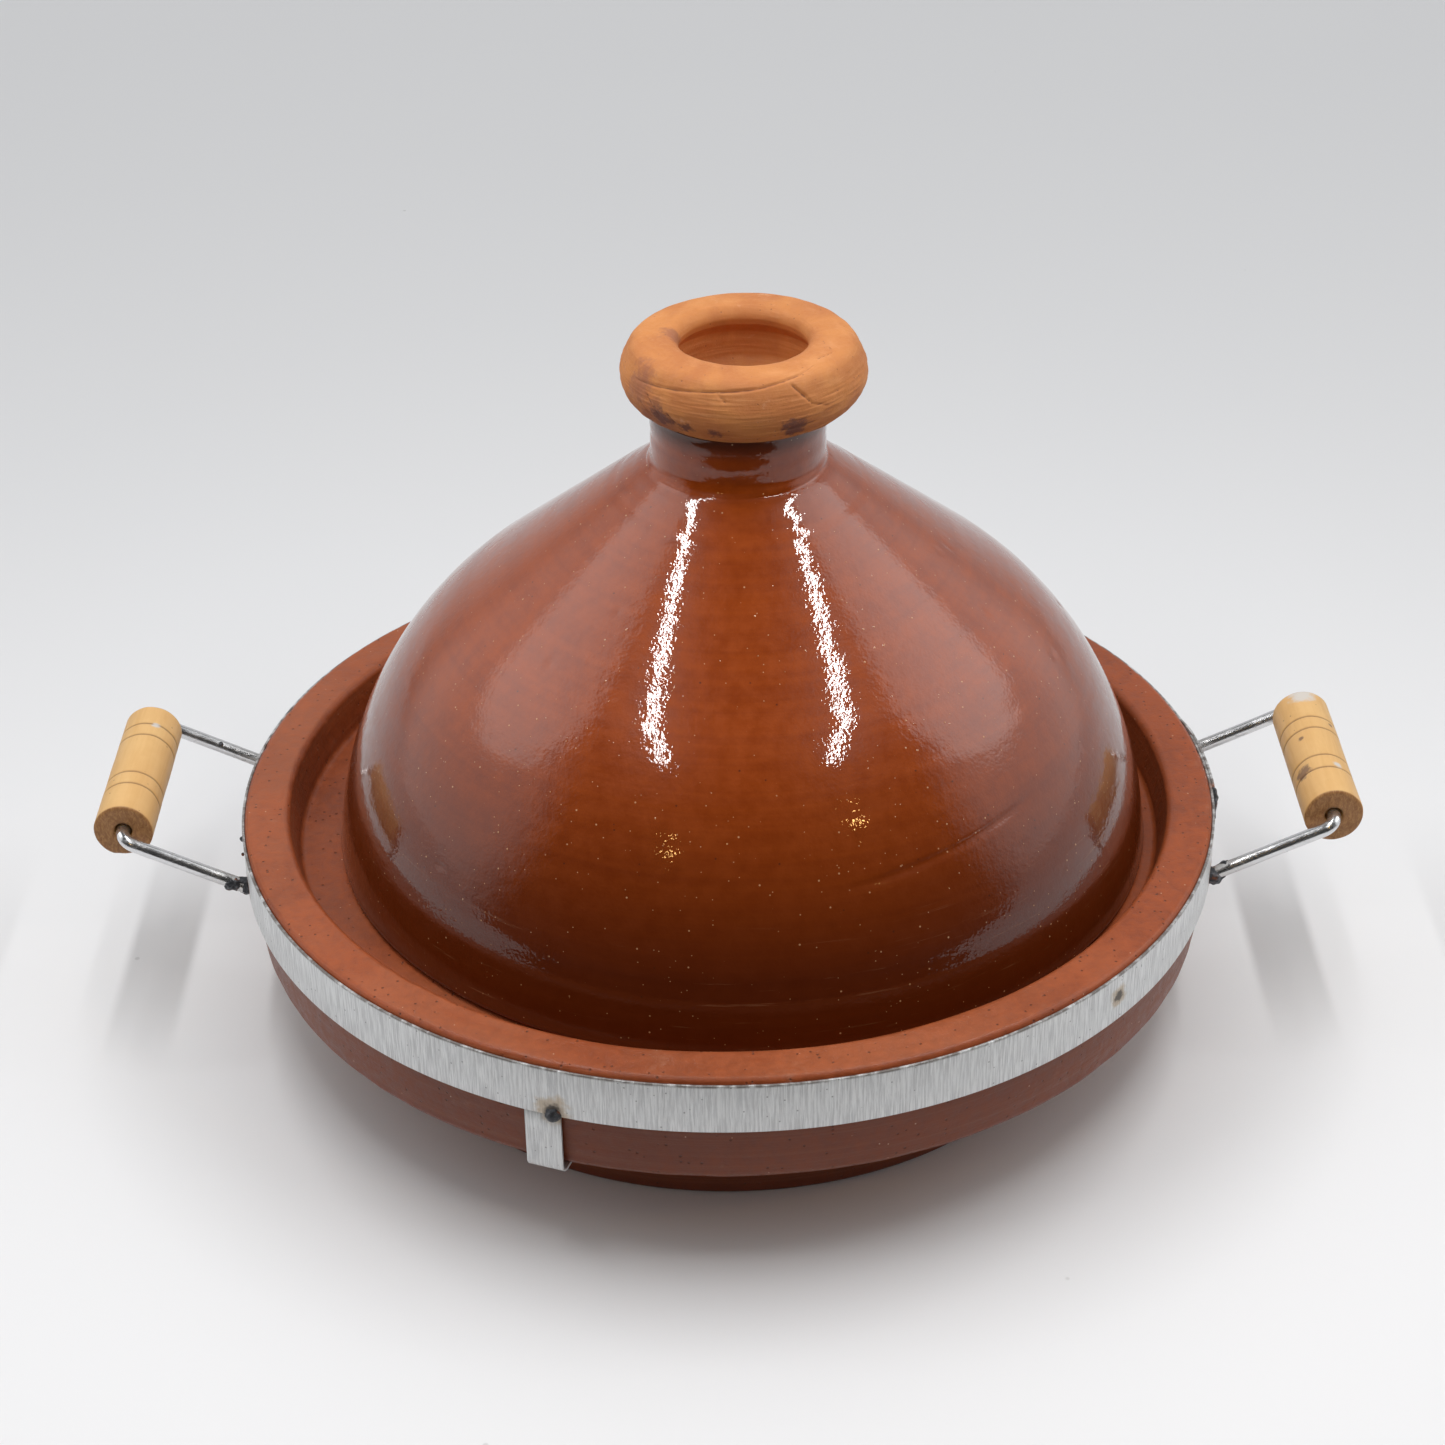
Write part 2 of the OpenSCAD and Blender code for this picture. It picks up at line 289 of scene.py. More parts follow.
def amber_glaze(tints):
    kit = Recipe("amber_glaze")
    z = kit.axes()[2]
    broad = kit.noise(9.0, 5.0, 0.6, 0.4)
    fine = kit.noise(160.0, 5.0, 0.6)
    rings = kit.noise(1.0, 4.0, 0.6, place=kit.scaled((5.0, 5.0, 420.0)))
    blend = kit.maths("MULTIPLY_ADD", rings, 0.28, kit.maths("MULTIPLY", broad, 0.30))
    blend = kit.maths("MULTIPLY_ADD", fine, 0.42, blend)
    body = kit.mix(kit.level(blend, 0.30, 0.70), tints.glaze_dark, tints.glaze_light)
    # painted shade: the glaze is darkened towards the dome's foot, where less light from above
    # falls
    low = kit.level(z, 0.172, 0.088)
    body = kit.mix(kit.maths("MULTIPLY", low, 0.85), body, (0.070, 0.010, 0.0010))
    scuff = kit.noise(1.0, 6.0, 0.7, place=kit.scaled((22.0, 22.0, 520.0)))
    scuffs = kit.maths("MULTIPLY", kit.level(scuff, 0.60, 0.74), kit.level(z, 0.130, 0.095))
    body = kit.mix(kit.maths("MULTIPLY", scuffs, 0.22), body, (0.50, 0.27, 0.14))
    # painted shade: the top of the neck is darkened where the overhanging knob shades it
    neck_painted_shade = kit.maths("MULTIPLY", kit.level(z, 0.232, 0.2395), 0.75)
    body = kit.mix(neck_painted_shade, body, (0.045, 0.014, 0.006))
    pale = kit.most(kit.specks(300.0, 0.13, 0.22), kit.specks(560.0, 0.15, 0.14))
    body = kit.mix(kit.maths("MULTIPLY", pale, 0.75), body, (0.60, 0.34, 0.17))
    dark = kit.specks(240.0, 0.12, 0.12)
    body = kit.mix(kit.maths("MULTIPLY", dark, 0.7), body, (0.05, 0.014, 0.006))
    skin = kit.noise(330.0, 2.0, 0.5)
    grit = kit.noise(900.0, 1.0, 0.5)
    relief = kit.bumped(skin, 0.00007, 1.0)
    relief = kit.bumped(kit.maths("ADD", grit, pale), 0.00004, 1.0, relief)
    rough = kit.maths("ADD", kit.level(fine, 0.35, 0.7, 0.30, 0.42),
                      kit.maths("MULTIPLY", scuffs, 0.12))
    return kit.shade(Base_Color=body, Roughness=rough, Normal=relief, Coat_Weight=1.0,
                     Specular_IOR_Level=0.12, Coat_Roughness=0.018, Coat_IOR=1.5,
                     Coat_Normal=relief)


def fired_clay(tints):
    kit = Recipe("fired_clay")
    z = kit.axes()[2]
    broad = kit.noise(11.0, 5.0, 0.6, 0.5)
    fine = kit.noise(260.0, 6.0, 0.65)
    lines = kit.noise(1.0, 5.0, 0.65, place=kit.scaled((5.0, 5.0, 900.0)))
    blend = kit.maths("MULTIPLY_ADD", fine, 0.45, kit.maths("MULTIPLY", broad, 0.55))
    body = kit.mix(kit.level(blend, 0.36, 0.66), tints.clay_dark, tints.clay_light)
    # painted shade: all clay lower than the band's foot (the skirt, the dish's foot and the
    # bowl) is darkened
    below = kit.level(z, 0.068, 0.062)
    body = kit.mix(kit.maths("MULTIPLY", kit.level(lines, 0.45, 0.70), 0.3), body,
                   (0.42, 0.15, 0.07))
    body = kit.mix(kit.maths("MULTIPLY", below, 0.60), body, (0.10, 0.023, 0.009))
    dust = kit.level(kit.noise(38.0, 7.0, 0.72), 0.60, 0.76)
    body = kit.mix(kit.maths("MULTIPLY", dust, 0.18), body, (0.55, 0.31, 0.20))
    pits = kit.most(kit.specks(420.0, 0.24, 0.24), kit.specks(210.0, 0.13, 0.16))
    body = kit.mix(kit.maths("MULTIPLY", pits, 0.65), body, (0.07, 0.022, 0.011))
    body = kit.mix(kit.maths("MULTIPLY", kit.specks(330.0, 0.12, 0.13), 0.7), body,
                   (0.62, 0.40, 0.26))
    relief = kit.bumped(lines, 0.00035, 0.35)
    relief = kit.bumped(kit.maths("SUBTRACT", fine, pits), 0.00040, 0.80, relief)
    return kit.shade(Base_Color=body, Roughness=kit.level(fine, 0.3, 0.7, 0.42, 0.62),
                     Normal=relief, Specular_IOR_Level=0.22, Coat_Weight=0.30,
                     Coat_Roughness=0.24,
                     Coat_IOR=1.45, Coat_Normal=relief)


def raw_clay(tints, middle_x):
    kit = Recipe("raw_clay")
    broad = kit.noise(42.0, 5.0, 0.6, 0.6)
    fine = kit.noise(700.0, 6.0, 0.7)
    wiped = kit.noise(1.0, 5.0, 0.6, place=kit.scaled((60.0, 60.0, 900.0)))
    body = kit.mix(kit.level(broad, 0.34, 0.66), tints.bare_dark, tints.bare_light)
    body = kit.mix(kit.level(wiped, 0.50, 0.75, 0.0, 0.35), body, (0.72, 0.34, 0.14))
    stains = kit.most(
        kit.spot((middle_x - 0.0286, -0.0317, 0.250), 0.0052, 1.1, 330.0),
        kit.spot((middle_x - 0.0205, -0.0370, 0.2475), 0.0036, 1.1, 380.0),
        kit.spot((middle_x + 0.0168, -0.0388, 0.2485), 0.0058, 1.0, 420.0),
        kit.spot((middle_x - 0.0105, -0.0405, 0.2460), 0.0040, 1.1, 330.0),
        kit.spot((middle_x + 0.0340, 0.0240, 0.252), 0.0070, 1.2, 260.0),
        kit.spot((middle_x - 0.0060, 0.0400, 0.250), 0.0080, 1.2, 260.0))
    smoky = kit.most(
        kit.spot((middle_x - 0.0345, -0.0220, 0.258), 0.0085, 1.1, 150.0),
        kit.spot((middle_x - 0.0230, 0.0020, 0.2655), 0.0062, 1.1, 200.0),
        kit.spot((middle_x - 0.0300, -0.0300, 0.2465), 0.0110, 1.0, 120.0))
    body = kit.mix(kit.maths("MULTIPLY", smoky, 0.58), body, (0.25, 0.085, 0.055))
    body = kit.mix(kit.maths("MULTIPLY", stains, 0.88), body, tints.smoke)
    flecks = kit.specks(520.0, 0.20, 0.14)
    body = kit.mix(kit.maths("MULTIPLY", flecks, 0.6), body, (0.20, 0.075, 0.04))
    # painted shade: the knob's cracks and hollows, found from the mesh's pointiness, are
    # darkened
    hollow_shade = kit.level(kit.add("ShaderNodeNewGeometry").outputs["Pointiness"], 0.482, 0.455)
    body = kit.mix(kit.maths("MULTIPLY", hollow_shade, 0.75), body, (0.17, 0.060, 0.028))
    chalk = kit.level(kit.noise(95.0, 7.0, 0.75), 0.61, 0.72)
    body = kit.mix(kit.maths("MULTIPLY", chalk, 0.30), body, (0.78, 0.48, 0.30))
    relief = kit.bumped(wiped, 0.00040, 0.35)
    relief = kit.bumped(kit.maths("SUBTRACT", fine, flecks), 0.00025, 0.6, relief)
    return kit.shade(Base_Color=body, Roughness=kit.level(fine, 0.3, 0.7, 0.62, 0.82),
                     Normal=relief)


def galvanised_steel(tints, radius, burns, seams):
    """Galvanised steel. burns are scorched places; seams are places that have rusted."""
    kit = Recipe("galvanised_steel")
    streak = kit.noise(1.0, 6.0, 0.68, place=kit.unrolled(radius, 1500.0, 70.0))
    cloud = kit.noise(70.0, 5.0, 0.6)
    z = kit.axes()[2]
    body = kit.mix(kit.level(streak, 0.38, 0.62), (0.52, 0.525, 0.53), tints.zinc)
    body = kit.mix(kit.level(cloud, 0.40, 0.75, 0.0, 0.35), body, (0.70, 0.71, 0.71))
    nicks = kit.specks(520.0, 0.22, 0.16)
    body = kit.mix(kit.maths("MULTIPLY", nicks, 0.7), body, (0.10, 0.10, 0.10))
    edge = kit.maths("MULTIPLY", kit.level(z, 0.0832, 0.0841),
                     kit.level(kit.noise(240.0, 4.0, 0.6), 0.30, 0.60))
    body = kit.mix(kit.maths("MULTIPLY", edge, 0.8), body, (0.09, 0.060, 0.045))
    tinted = kit.most(*[kit.spot(place, size * 1.9, 0.7, 220.0) for place, size in burns])
    body = kit.mix(kit.maths("MULTIPLY", tinted, 0.55), body, (0.42, 0.27, 0.10))
    black = kit.most(*[kit.spot(place, size, 0.8, 420.0) for place, size in burns])
    body = kit.mix(kit.maths("MULTIPLY", black, 0.85), body, (0.035, 0.027, 0.025))
    rusty = kit.most(*[kit.spot(place, size, 1.0, 260.0) for place, size in seams])
    body = kit.mix(kit.maths("MULTIPLY", rusty, 0.7), body, tints.rust)
    worn = kit.most(black, rusty, nicks)
    relief = kit.bumped(kit.maths("SUBTRACT", streak, worn), 0.00012, 0.55)
    return kit.shade(Base_Color=body, Normal=relief,
                     Metallic=kit.level(worn, 0.0, 1.0, 0.55, 0.1),
                     Roughness=kit.level(streak, 0.3, 0.7, 0.42, 0.60))


def plated_wire(tints):
    kit = Recipe("plated_wire")
    x = kit.axes()[0]
    inner = kit.level(kit.maths("ABSOLUTE", x), 0.196, 0.178)
    scuff = kit.level(kit.noise(1.0, 6.0, 0.7, 0.5, kit.scaled((120.0, 420.0, 420.0))),
                      0.56, 0.66)
    dull = kit.noise(95.0, 5.0, 0.6)
    body = kit.mix(kit.maths("MULTIPLY", scuff, 0.45), tints.wire, (0.16, 0.15, 0.145))
    body = kit.mix(kit.maths("MULTIPLY", inner, 0.35), body, (0.34, 0.30, 0.26))
    relief = kit.bumped(dull, 0.00003, 0.4)
    return kit.shade(Base_Color=body, Metallic=0.96, Normal=relief,
                     Roughness=kit.maths("ADD", kit.level(dull, 0.3, 0.7, 0.14, 0.28),
                                         kit.maths("MULTIPLY", scuff, 0.25)))


def burnt_weld(tints):
    kit = Recipe("burnt_weld")
    lumps = kit.noise(380.0, 5.0, 0.6, 0.6)
    grain = kit.noise(1500.0, 4.0, 0.6)
    body = kit.mix(kit.level(lumps, 0.46, 0.72), tints.weld, (0.22, 0.225, 0.24))
    rusted = kit.level(kit.noise(210.0, 5.0, 0.65), 0.54, 0.68)
    body = kit.mix(kit.maths("MULTIPLY", rusted, 0.75), body, tints.rust)
    relief = kit.bumped(kit.maths("ADD", lumps, grain), 0.0003, 0.7)
    return kit.shade(Base_Color=body, Metallic=0.65, Normal=relief,
                     Roughness=kit.level(lumps, 0.3, 0.7, 0.36, 0.62))


def pale_wood(tints, name, half, marks, dirt, bare):
    """Turned wood, grain along Y. dirt and bare are places with a stain or no varnish."""
    kit = Recipe(name)
    y = kit.axes()[1]
    grain = kit.noise(1.0, 6.0, 0.62, 0.6, kit.scaled((300.0, 26.0, 300.0)))
    pores = kit.noise(1.0, 4.0, 0.6, 0.0, kit.scaled((2200.0, 160.0, 2200.0)))
    cloud = kit.noise(55.0, 4.0, 0.6)
    body = kit.mix(kit.level(grain, 0.36, 0.68), tints.wood_light, tints.wood_dark)
    body = kit.mix(kit.level(cloud, 0.45, 0.75, 0.0, 0.35), body, (0.78, 0.52, 0.22))
    body = kit.mix(kit.level(pores, 0.62, 0.76, 0.0, 0.22), body, (0.35, 0.17, 0.05))
    for share in marks:
        away = kit.maths("ABSOLUTE", kit.maths("SUBTRACT", y, half - share * 2 * half))
        groove = kit.level(away, 0.00075, 0.0002)
        body = kit.mix(kit.maths("MULTIPLY", groove, 0.62), body, (0.15, 0.065, 0.02))
    specks = kit.specks(480.0, 0.20, 0.07)
    body = kit.mix(kit.maths("MULTIPLY", specks, 0.7), body, (0.11, 0.045, 0.018))
    dirty = kit.most(*[kit.spot(place, size, 0.9, 420.0) for place, size in dirt])
    body = kit.mix(kit.maths("MULTIPLY", dirty, 0.72), body, (0.10, 0.045, 0.04))
    grey = kit.most(*[kit.spot(place, size, 0.7, 260.0) for place, size in bare])
    body = kit.mix(kit.maths("MULTIPLY", grey, 0.85), body, (0.58, 0.57, 0.55))
    sawn = kit.level(kit.maths("ABSOLUTE", y), half - 0.0009, half - 0.0002)
    rings = kit.noise(1.0, 5.0, 0.7, 0.8, kit.scaled((900.0, 1.0, 420.0)))
    cut = kit.mix(kit.level(rings, 0.35, 0.70), tints.end_grain, (0.48, 0.24, 0.08))
    body = kit.mix(sawn, body, cut)
    relief = kit.bumped(kit.maths("ADD", grain, pores), 0.00007, 0.35)
    return kit.shade(Base_Color=body, Normal=relief, Coat_Weight=0.12,
                     Coat_Roughness=0.30, Roughness=kit.level(grain, 0.3, 0.7, 0.48, 0.66))


def pale_floor(tints):
    kit = Recipe("pale_floor")
    paper = kit.noise(620.0, 5.0, 0.6)
    cloud = kit.noise(2.2, 3.0, 0.5)
    dust = kit.specks(26.0, 0.035, 0.10)
    body = kit.mix(kit.level(cloud, 0.3, 0.7, 0.0, 0.10), tints.floor, (0.74, 0.74, 0.755))
    body = kit.mix(kit.maths("MULTIPLY", dust, 0.45), body, (0.45, 0.44, 0.43))
    return kit.shade(Base_Color=body, Roughness=0.62,
                     Normal=kit.bumped(paper, 0.0002, 0.12))


# Shapes --------------------------------------------------------------------------------

def arc(centre, radius, start, stop, steps):
    """Points of an arc from start to stop, in degrees."""
    points = []
    for i in range(steps + 1):
        turn = math.radians(start + (stop - start) * i / steps)
        points.append((centre[0] + radius * math.cos(turn),
                       centre[1] + radius * math.sin(turn)))
    return points


def eased(points, reach=0.0008, least=14.0):
    """An outline whose sharp corners are rounded over reach, the two ends left alone."""
    out = [points[0]]
    for before, here, after in zip(points, points[1:], points[2:]):
        a, p, b = Vector(before), Vector(here), Vector(after)
        u, v = a - p, b - p
        if min(u.length, v.length) < 1e-7:
            continue
        if math.degrees(u.angle(v)) > 180.0 - least:
            out.append(here)
            continue
        start = p + u * min(reach / u.length, 0.45)
        stop = p + v * min(reach / v.length, 0.45)
        for i in range(6):
            t = i / 5
            spot = start * (1 - t) ** 2 + p * (2 * t * (1 - t)) + stop * t ** 2
            out.append(tuple(spot))
    return out + [points[-1]]


def finer(points, step):
    """The same outline with no stretch longer than step."""
    out = [points[0]]
    for a, b in zip(points, points[1:]):
        count = max(1, math.ceil(math.dist(a, b) / step))
        out += [(a[0] + (b[0] - a[0]) * i / count, a[1] + (b[1] - a[1]) * i / count)
                for i in range(1, count + 1)]
    return out


def shown(name, mesh, material, body, nodes=()):
    """Puts a finished mesh in the scene, on its body and in place of its CAD nodes."""
    for face in mesh.polygons:
        face.use_smooth = True
    piece = bpy.data.objects.new(name, mesh)
    bpy.context.scene.collection.objects.link(piece)
    for finish in material if isinstance(material, list) else [material]:
        mesh.materials.append(finish)
    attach(piece, body)
    if nodes:
        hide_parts(*nodes)
    return piece


def turned_mesh(name, outline, steps, shape=None, loop=False, inside_from=None):
    """Turns an outline of (radius, height) about Z. shape(r, z, turn) gives a small push
    (outwards, upwards). A loop joins its last point to its first."""
    verts, rings = [], []
    for r, z in outline:
        if r < 1e-6:
            rings.append([len(verts)])
            verts.append((0.0, 0.0, z))
            continue
        ring = []
        for k in range(steps):
            turn = 2 * math.pi * k / steps
            dr, dz = shape(r, z, turn) if shape else (0.0, 0.0)
            ring.append(len(verts))
            verts.append(((r + dr) * math.cos(turn), (r + dr) * math.sin(turn), z + dz))
        rings.append(ring)
    pairs = list(zip(rings, rings[1:])) + ([(rings[-1], rings[0])] if loop else [])
    faces, inner = [], []
    for index, (a, b) in enumerate(pairs):
        for k in range(steps):
            n = (k + 1) % steps
            if len(a) == 1:
                faces.append((a[0], b[n], b[k]))
            elif len(b) == 1:
                faces.append((a[k], a[n], b[0]))
            else:
                faces.append((a[k], a[n], b[n], b[k]))
            inner.append(inside_from is not None and index >= inside_from)
    mesh = bpy.data.meshes.new(name)
    mesh.from_pydata(verts, [], faces)
    for face, hidden in zip(mesh.polygons, inner):
        face.material_index = int(hidden)
    return mesh


def swept_mesh(name, rings):
    """A closed solid skin over rings of points, with both ends capped."""
    count = len(rings[0])
    verts = [tuple(p) for ring in rings for p in ring]
    faces = [tuple(range(count))[::-1],
             tuple(range((len(rings) - 1) * count, len(rings) * count))]
    for i in range(len(rings) - 1):
        for k in range(count):
            n = (k + 1) % count
            faces.append((i * count + k, i * count + n,
                          (i + 1) * count + n, (i + 1) * count + k))
    mesh = bpy.data.meshes.new(name)
    mesh.from_pydata(verts, [], faces)
    return outward(mesh)


def outward(mesh):
    """Turns every face of a closed mesh outwards."""
    bm = bmesh.new()
    bm.from_mesh(mesh)
    bmesh.ops.recalc_face_normals(bm, faces=bm.faces)
    bm.to_mesh(mesh)
    bm.free()
    return mesh


def molten_mesh(name, balls, grain=0.00032, rough=0.0003, scale=700.0):
    """Lumps of metal that ran together: balls of (place, radius) fused into one skin."""
    bm = bmesh.new()
    for place, radius in balls:
        bmesh.ops.create_icosphere(bm, subdivisions=3, radius=radius,
                                   matrix=Matrix.Translation(place))
    raw = bpy.data.meshes.new(name + "_raw")
    bm.to_mesh(raw)
    bm.free()
    holder = bpy.data.objects.new(name + "_raw", raw)
    bpy.context.scene.collection.objects.link(holder)
    fuse = holder.modifiers.new("fuse", "REMESH")
    fuse.mode = "VOXEL"
    fuse.voxel_size = grain
    smooth = holder.modifiers.new("smooth", "SMOOTH")
    smooth.factor, smooth.iterations = 0.5, 5
    graph = bpy.context.evaluated_depsgraph_get()
    mesh = bpy.data.meshes.new_from_object(holder.evaluated_get(graph))
    bpy.data.objects.remove(holder)
    bpy.data.meshes.remove(raw)
    normals = [v.normal.copy() for v in mesh.vertices]
    for vert, normal in zip(mesh.vertices, normals):
        vert.co += normal * (noise.noise(vert.co * scale) - 0.35) * rough
    mesh.name = name
    return mesh


def on_round(radius, turn, z):
    """A place on an upright round wall; turn is in radians from +X."""
    return Vector((radius * math.cos(turn), radius * math.sin(turn), z))


def fade(value, low, high):
    """0 below low, 1 above high, and smooth between."""
    t = min(1.0, max(0.0, (value - low) / (high - low)))
    return t * t * (3 - 2 * t)


def wrapped(turn):
    """The same turn, between half a circle back and half a circle on."""
    return (turn + math.pi) % (2 * math.pi) - math.pi


def turn_gap(a, b):
    """Smallest angle between two turns."""
    return abs(wrapped(a - b))


def neck_curve(clay):
    """Centre of the tight curve between the lid's shoulder and its upright neck."""
    up, curve = clay.shoulder_a, clay.neck_curve_r
    sr = clay.dome_r - clay.dome_curve_r + clay.dome_curve_r * math.cos(up)
    sz = clay.dome_curve_z + clay.dome_curve_r * math.sin(up)
    run = (sr - clay.neck_r - curve * (1 - math.cos(up))) / math.sin(up)
    return clay.neck_r + curve, sz + run * math.cos(up) + curve * math.sin(up)


# Clay pieces ---------------------------------------------------------------------------

def dish_outline(clay, band_top):
    cove, lip, shoulder = 0.024, 0.003, 0.0024
    inner = clay.rim_r - clay.rim_w
    gallery = inner - 0.0024
    outer = [(0, 0.0006), (clay.foot_r - 0.016, 0.0006), (clay.foot_r - 0.013, 0),
             (clay.foot_r - 0.001, 0), (clay.foot_r + 0.0005, 0.0015)]
    outer += arc((clay.foot_r + 0.0015 + cove, 0.017), cove, 180, 98, 24)
    outer += [(clay.skirt_r - 0.002, clay.skirt_z - 0.0028), (clay.skirt_r, clay.skirt_z),
              (clay.rim_r - 0.0013, band_top - 0.0125), (clay.rim_r, band_top - 0.0095)]
    outer += arc((clay.rim_r - shoulder, clay.rim_z - shoulder), shoulder, 0, 90, 10)
    outer += arc((inner + lip, clay.rim_z - lip), lip, 90, 180, 10)
    outer += arc((gallery - 0.0024, clay.ledge_z + 0.0024), 0.0024, 0, -90, 8)
    outer += arc((clay.ledge_r + 0.003, clay.ledge_z - 0.003), 0.003, 90, 180, 8)
    outer += arc((clay.ledge_r - 0.001 - clay.bowl_curve_r,
                  clay.floor_t + clay.bowl_curve_r), clay.bowl_curve_r, 0, -90, 40)
    return outer + [(0, clay.floor_t - 0.0005)]


def dish_marks(clay):
    """The dents and turning marks of the dish, all cut inwards from its outline."""
    draw = random.Random(11)
    edge, inner = clay.rim_r, clay.rim_r - clay.rim_w
    chips = [(draw.uniform(0, 2 * math.pi), draw.choice((edge, edge, inner)),
              draw.uniform(0.0010, 0.0028), draw.uniform(0.0003, 0.0009))
             for _ in range(46)]

    def push(r, z, turn):
        spot = Vector((r * math.cos(turn), r * math.sin(turn), z))
        out = up = 0.0
        if z > clay.rim_z - 0.004 and r > inner - 0.002:
            up -= 0.00035 * (0.5 + noise.noise(spot * 22))
            up -= 0.00010 * (1 + noise.noise(Vector((r * 1500, turn * 3, 0))))
            for at, reach_r, size, depth in chips:
                if turn_gap(turn, at) * r < size * 2 and abs(r - reach_r) < size * 2:
                    far = math.hypot(turn_gap(turn, at) * r, r - reach_r) / size
                    up -= depth * math.exp(-far * far * 2)
        elif r > clay.skirt_r - 0.004:
            out -= 0.00010 * (1 + noise.noise(Vector((z * 900, turn * 2, 3))))
            if z < clay.skirt_z + 0.004:
                out -= 0.0003 * (1 + noise.noise(spot * 90))
        elif z > clay.floor_t - 0.002 and r < clay.ledge_r:
            up += 0.0003 * noise.noise(Vector((r * 260, turn * 0.8, 5)))
        return out, up
    return push


class TAGINE_OT_dish(bpy.types.Operator):
    """Turn the clay dish with its heavy rim, gallery, ledge and bowl"""
    bl_idname = "tagine.dish"
    bl_label = "Dish"

    def execute(self, context):
        clay, band = context.scene.tagine_clay, context.scene.tagine_carrier
        tints = context.scene.tagine_colours
        outline = finer(eased(dish_outline(clay, band.band_top)), 0.0020)
        mesh = turned_mesh("dish_turned", outline, clay.turns, dish_marks(clay))
        shown("dish_turned", outward(mesh), fired_clay(tints), "pot", ["dish"])
        return {"FINISHED"}


def lid_outline(clay):
    """The lid's outline, and how many of its points lie outside."""
    big, dome_z = clay.dome_curve_r, clay.dome_curve_z
    dome_x = clay.dome_r - big
    up = math.degrees(clay.shoulder_a)
    foot_z = clay.ledge_z + clay.seat_gap
    start = math.degrees(math.asin((foot_z + 0.002 - dome_z) / big))
    small = big - clay.dome_t
    inner_start = math.degrees(math.asin((foot_z + 0.002 - dome_z) / small))
    neck, curve, top = neck_curve(clay), clay.neck_curve_r, clay.neck_z
    outside = arc((dome_x, dome_z), big, start, up, 60)
    outside += arc(neck, curve, 180 + up, 180, 14)
    outside += [(clay.neck_r, top - 0.0005), (clay.neck_r, top), (0, top)]
    inner_arc = arc((dome_x, dome_z), small, up, inner_start, 40)
    inside = [(0, top - clay.cap_t), (clay.neck_r - clay.dome_t, top - clay.cap_t)]
    inside += arc(neck, curve + clay.dome_t, 180, 180 + up, 14) + inner_arc
    foot = [(inner_arc[-1][0] + 0.0012, foot_z), (outside[0][0] - 0.0016, foot_z),
            outside[0]]
    return finer(eased(outside), 0.0016), finer(eased(inside + foot), 0.0030)


# Middle of the shallow crease on the lid's front right: its turn from +X, and its height
CREASE_TURN, CREASE_Z = -1.02, 0.1290


def lid_marks(clay):
    """Throwing rings, the crease at the neck's foot and small chips, all cut inwards."""
    neck_foot = neck_curve(clay)[1] - 0.0040
    draw = random.Random(5)
    chips = [(draw.uniform(0, 2 * math.pi), draw.uniform(0.10, 0.20),
              draw.uniform(0.0010, 0.0020)) for _ in range(16)]

    def push(r, z, turn):
        spot = Vector((r * math.cos(turn), r * math.sin(turn), z))
        out = -0.00030 * (0.5 + 0.5 * noise.noise(spot * 14))
        out -= 0.00009 * (1 + noise.noise(Vector((z * 210, turn * 0.7, 1))))
        tilt = z - neck_foot - 0.0012 * math.sin(turn + 0.6)
        if r < 0.045:
            out -= 0.00045 * math.exp(-(tilt / 0.0008) ** 2)
            out -= 0.00030 * (1 + noise.noise(Vector((z * 420, turn * 1.3, 9))))
        round_from = wrapped(turn - CREASE_TURN)
        ridge = z - CREASE_Z - 0.012 * round_from
        window = fade(0.34 - abs(round_from), 0.0, 0.18)
        out -= 0.00065 * math.exp(-(ridge / 0.0011) ** 2) * window
        for at, height, size in chips:
            if abs(z - height) < size * 2 and turn_gap(turn, at) * r < size * 2:
                far = math.hypot(turn_gap(turn, at) * r, z - height) / size
                out -= 0.0006 * math.exp(-far * far * 2)
        return out, 0.0
    return push


class TAGINE_OT_lid(bpy.types.Operator):
    """Turn the glazed dome lid, waisted under its knob and bare inside"""
    bl_idname = "tagine.lid"
    bl_label = "Lid"

    def execute(self, context):
        clay, tints = context.scene.tagine_clay, context.scene.tagine_colours
        outside, inside = lid_outline(clay)
        marks = lid_marks(clay)

        def shape(r, z, turn):
            return marks(r, z, turn) if (r, z) in skin else (0.0, 0.0)
        skin = set(outside[1:-1])
        # the outer run ends on the axis, and the inner run begins there
        outer = turned_mesh("lid_outer", outside, clay.turns, shape)
        inner = turned_mesh("lid_inner", inside, clay.turns)
        bm = bmesh.new()
        bm.from_mesh(outer)
        count = len(bm.faces)
        bm.from_mesh(inner)
        bm.faces.ensure_lookup_table()
        for face in bm.faces[count:]:
            face.material_index = 1
        bmesh.ops.remove_doubles(bm, verts=bm.verts, dist=1e-6)
        bmesh.ops.translate(bm, verts=bm.verts, vec=(clay.lid_x, 0, 0))
        bmesh.ops.recalc_face_normals(bm, faces=bm.faces)
        mesh = bpy.data.meshes.new("lid_turned")
        bm.to_mesh(mesh)
        bm.free()
        inside_clay = bpy.data.materials.get("fired_clay") or fired_clay(tints)
        shown("lid_turned", mesh, [amber_glaze(tints), inside_clay], "lid",
              ["lid_dome"])
        return {"FINISHED"}


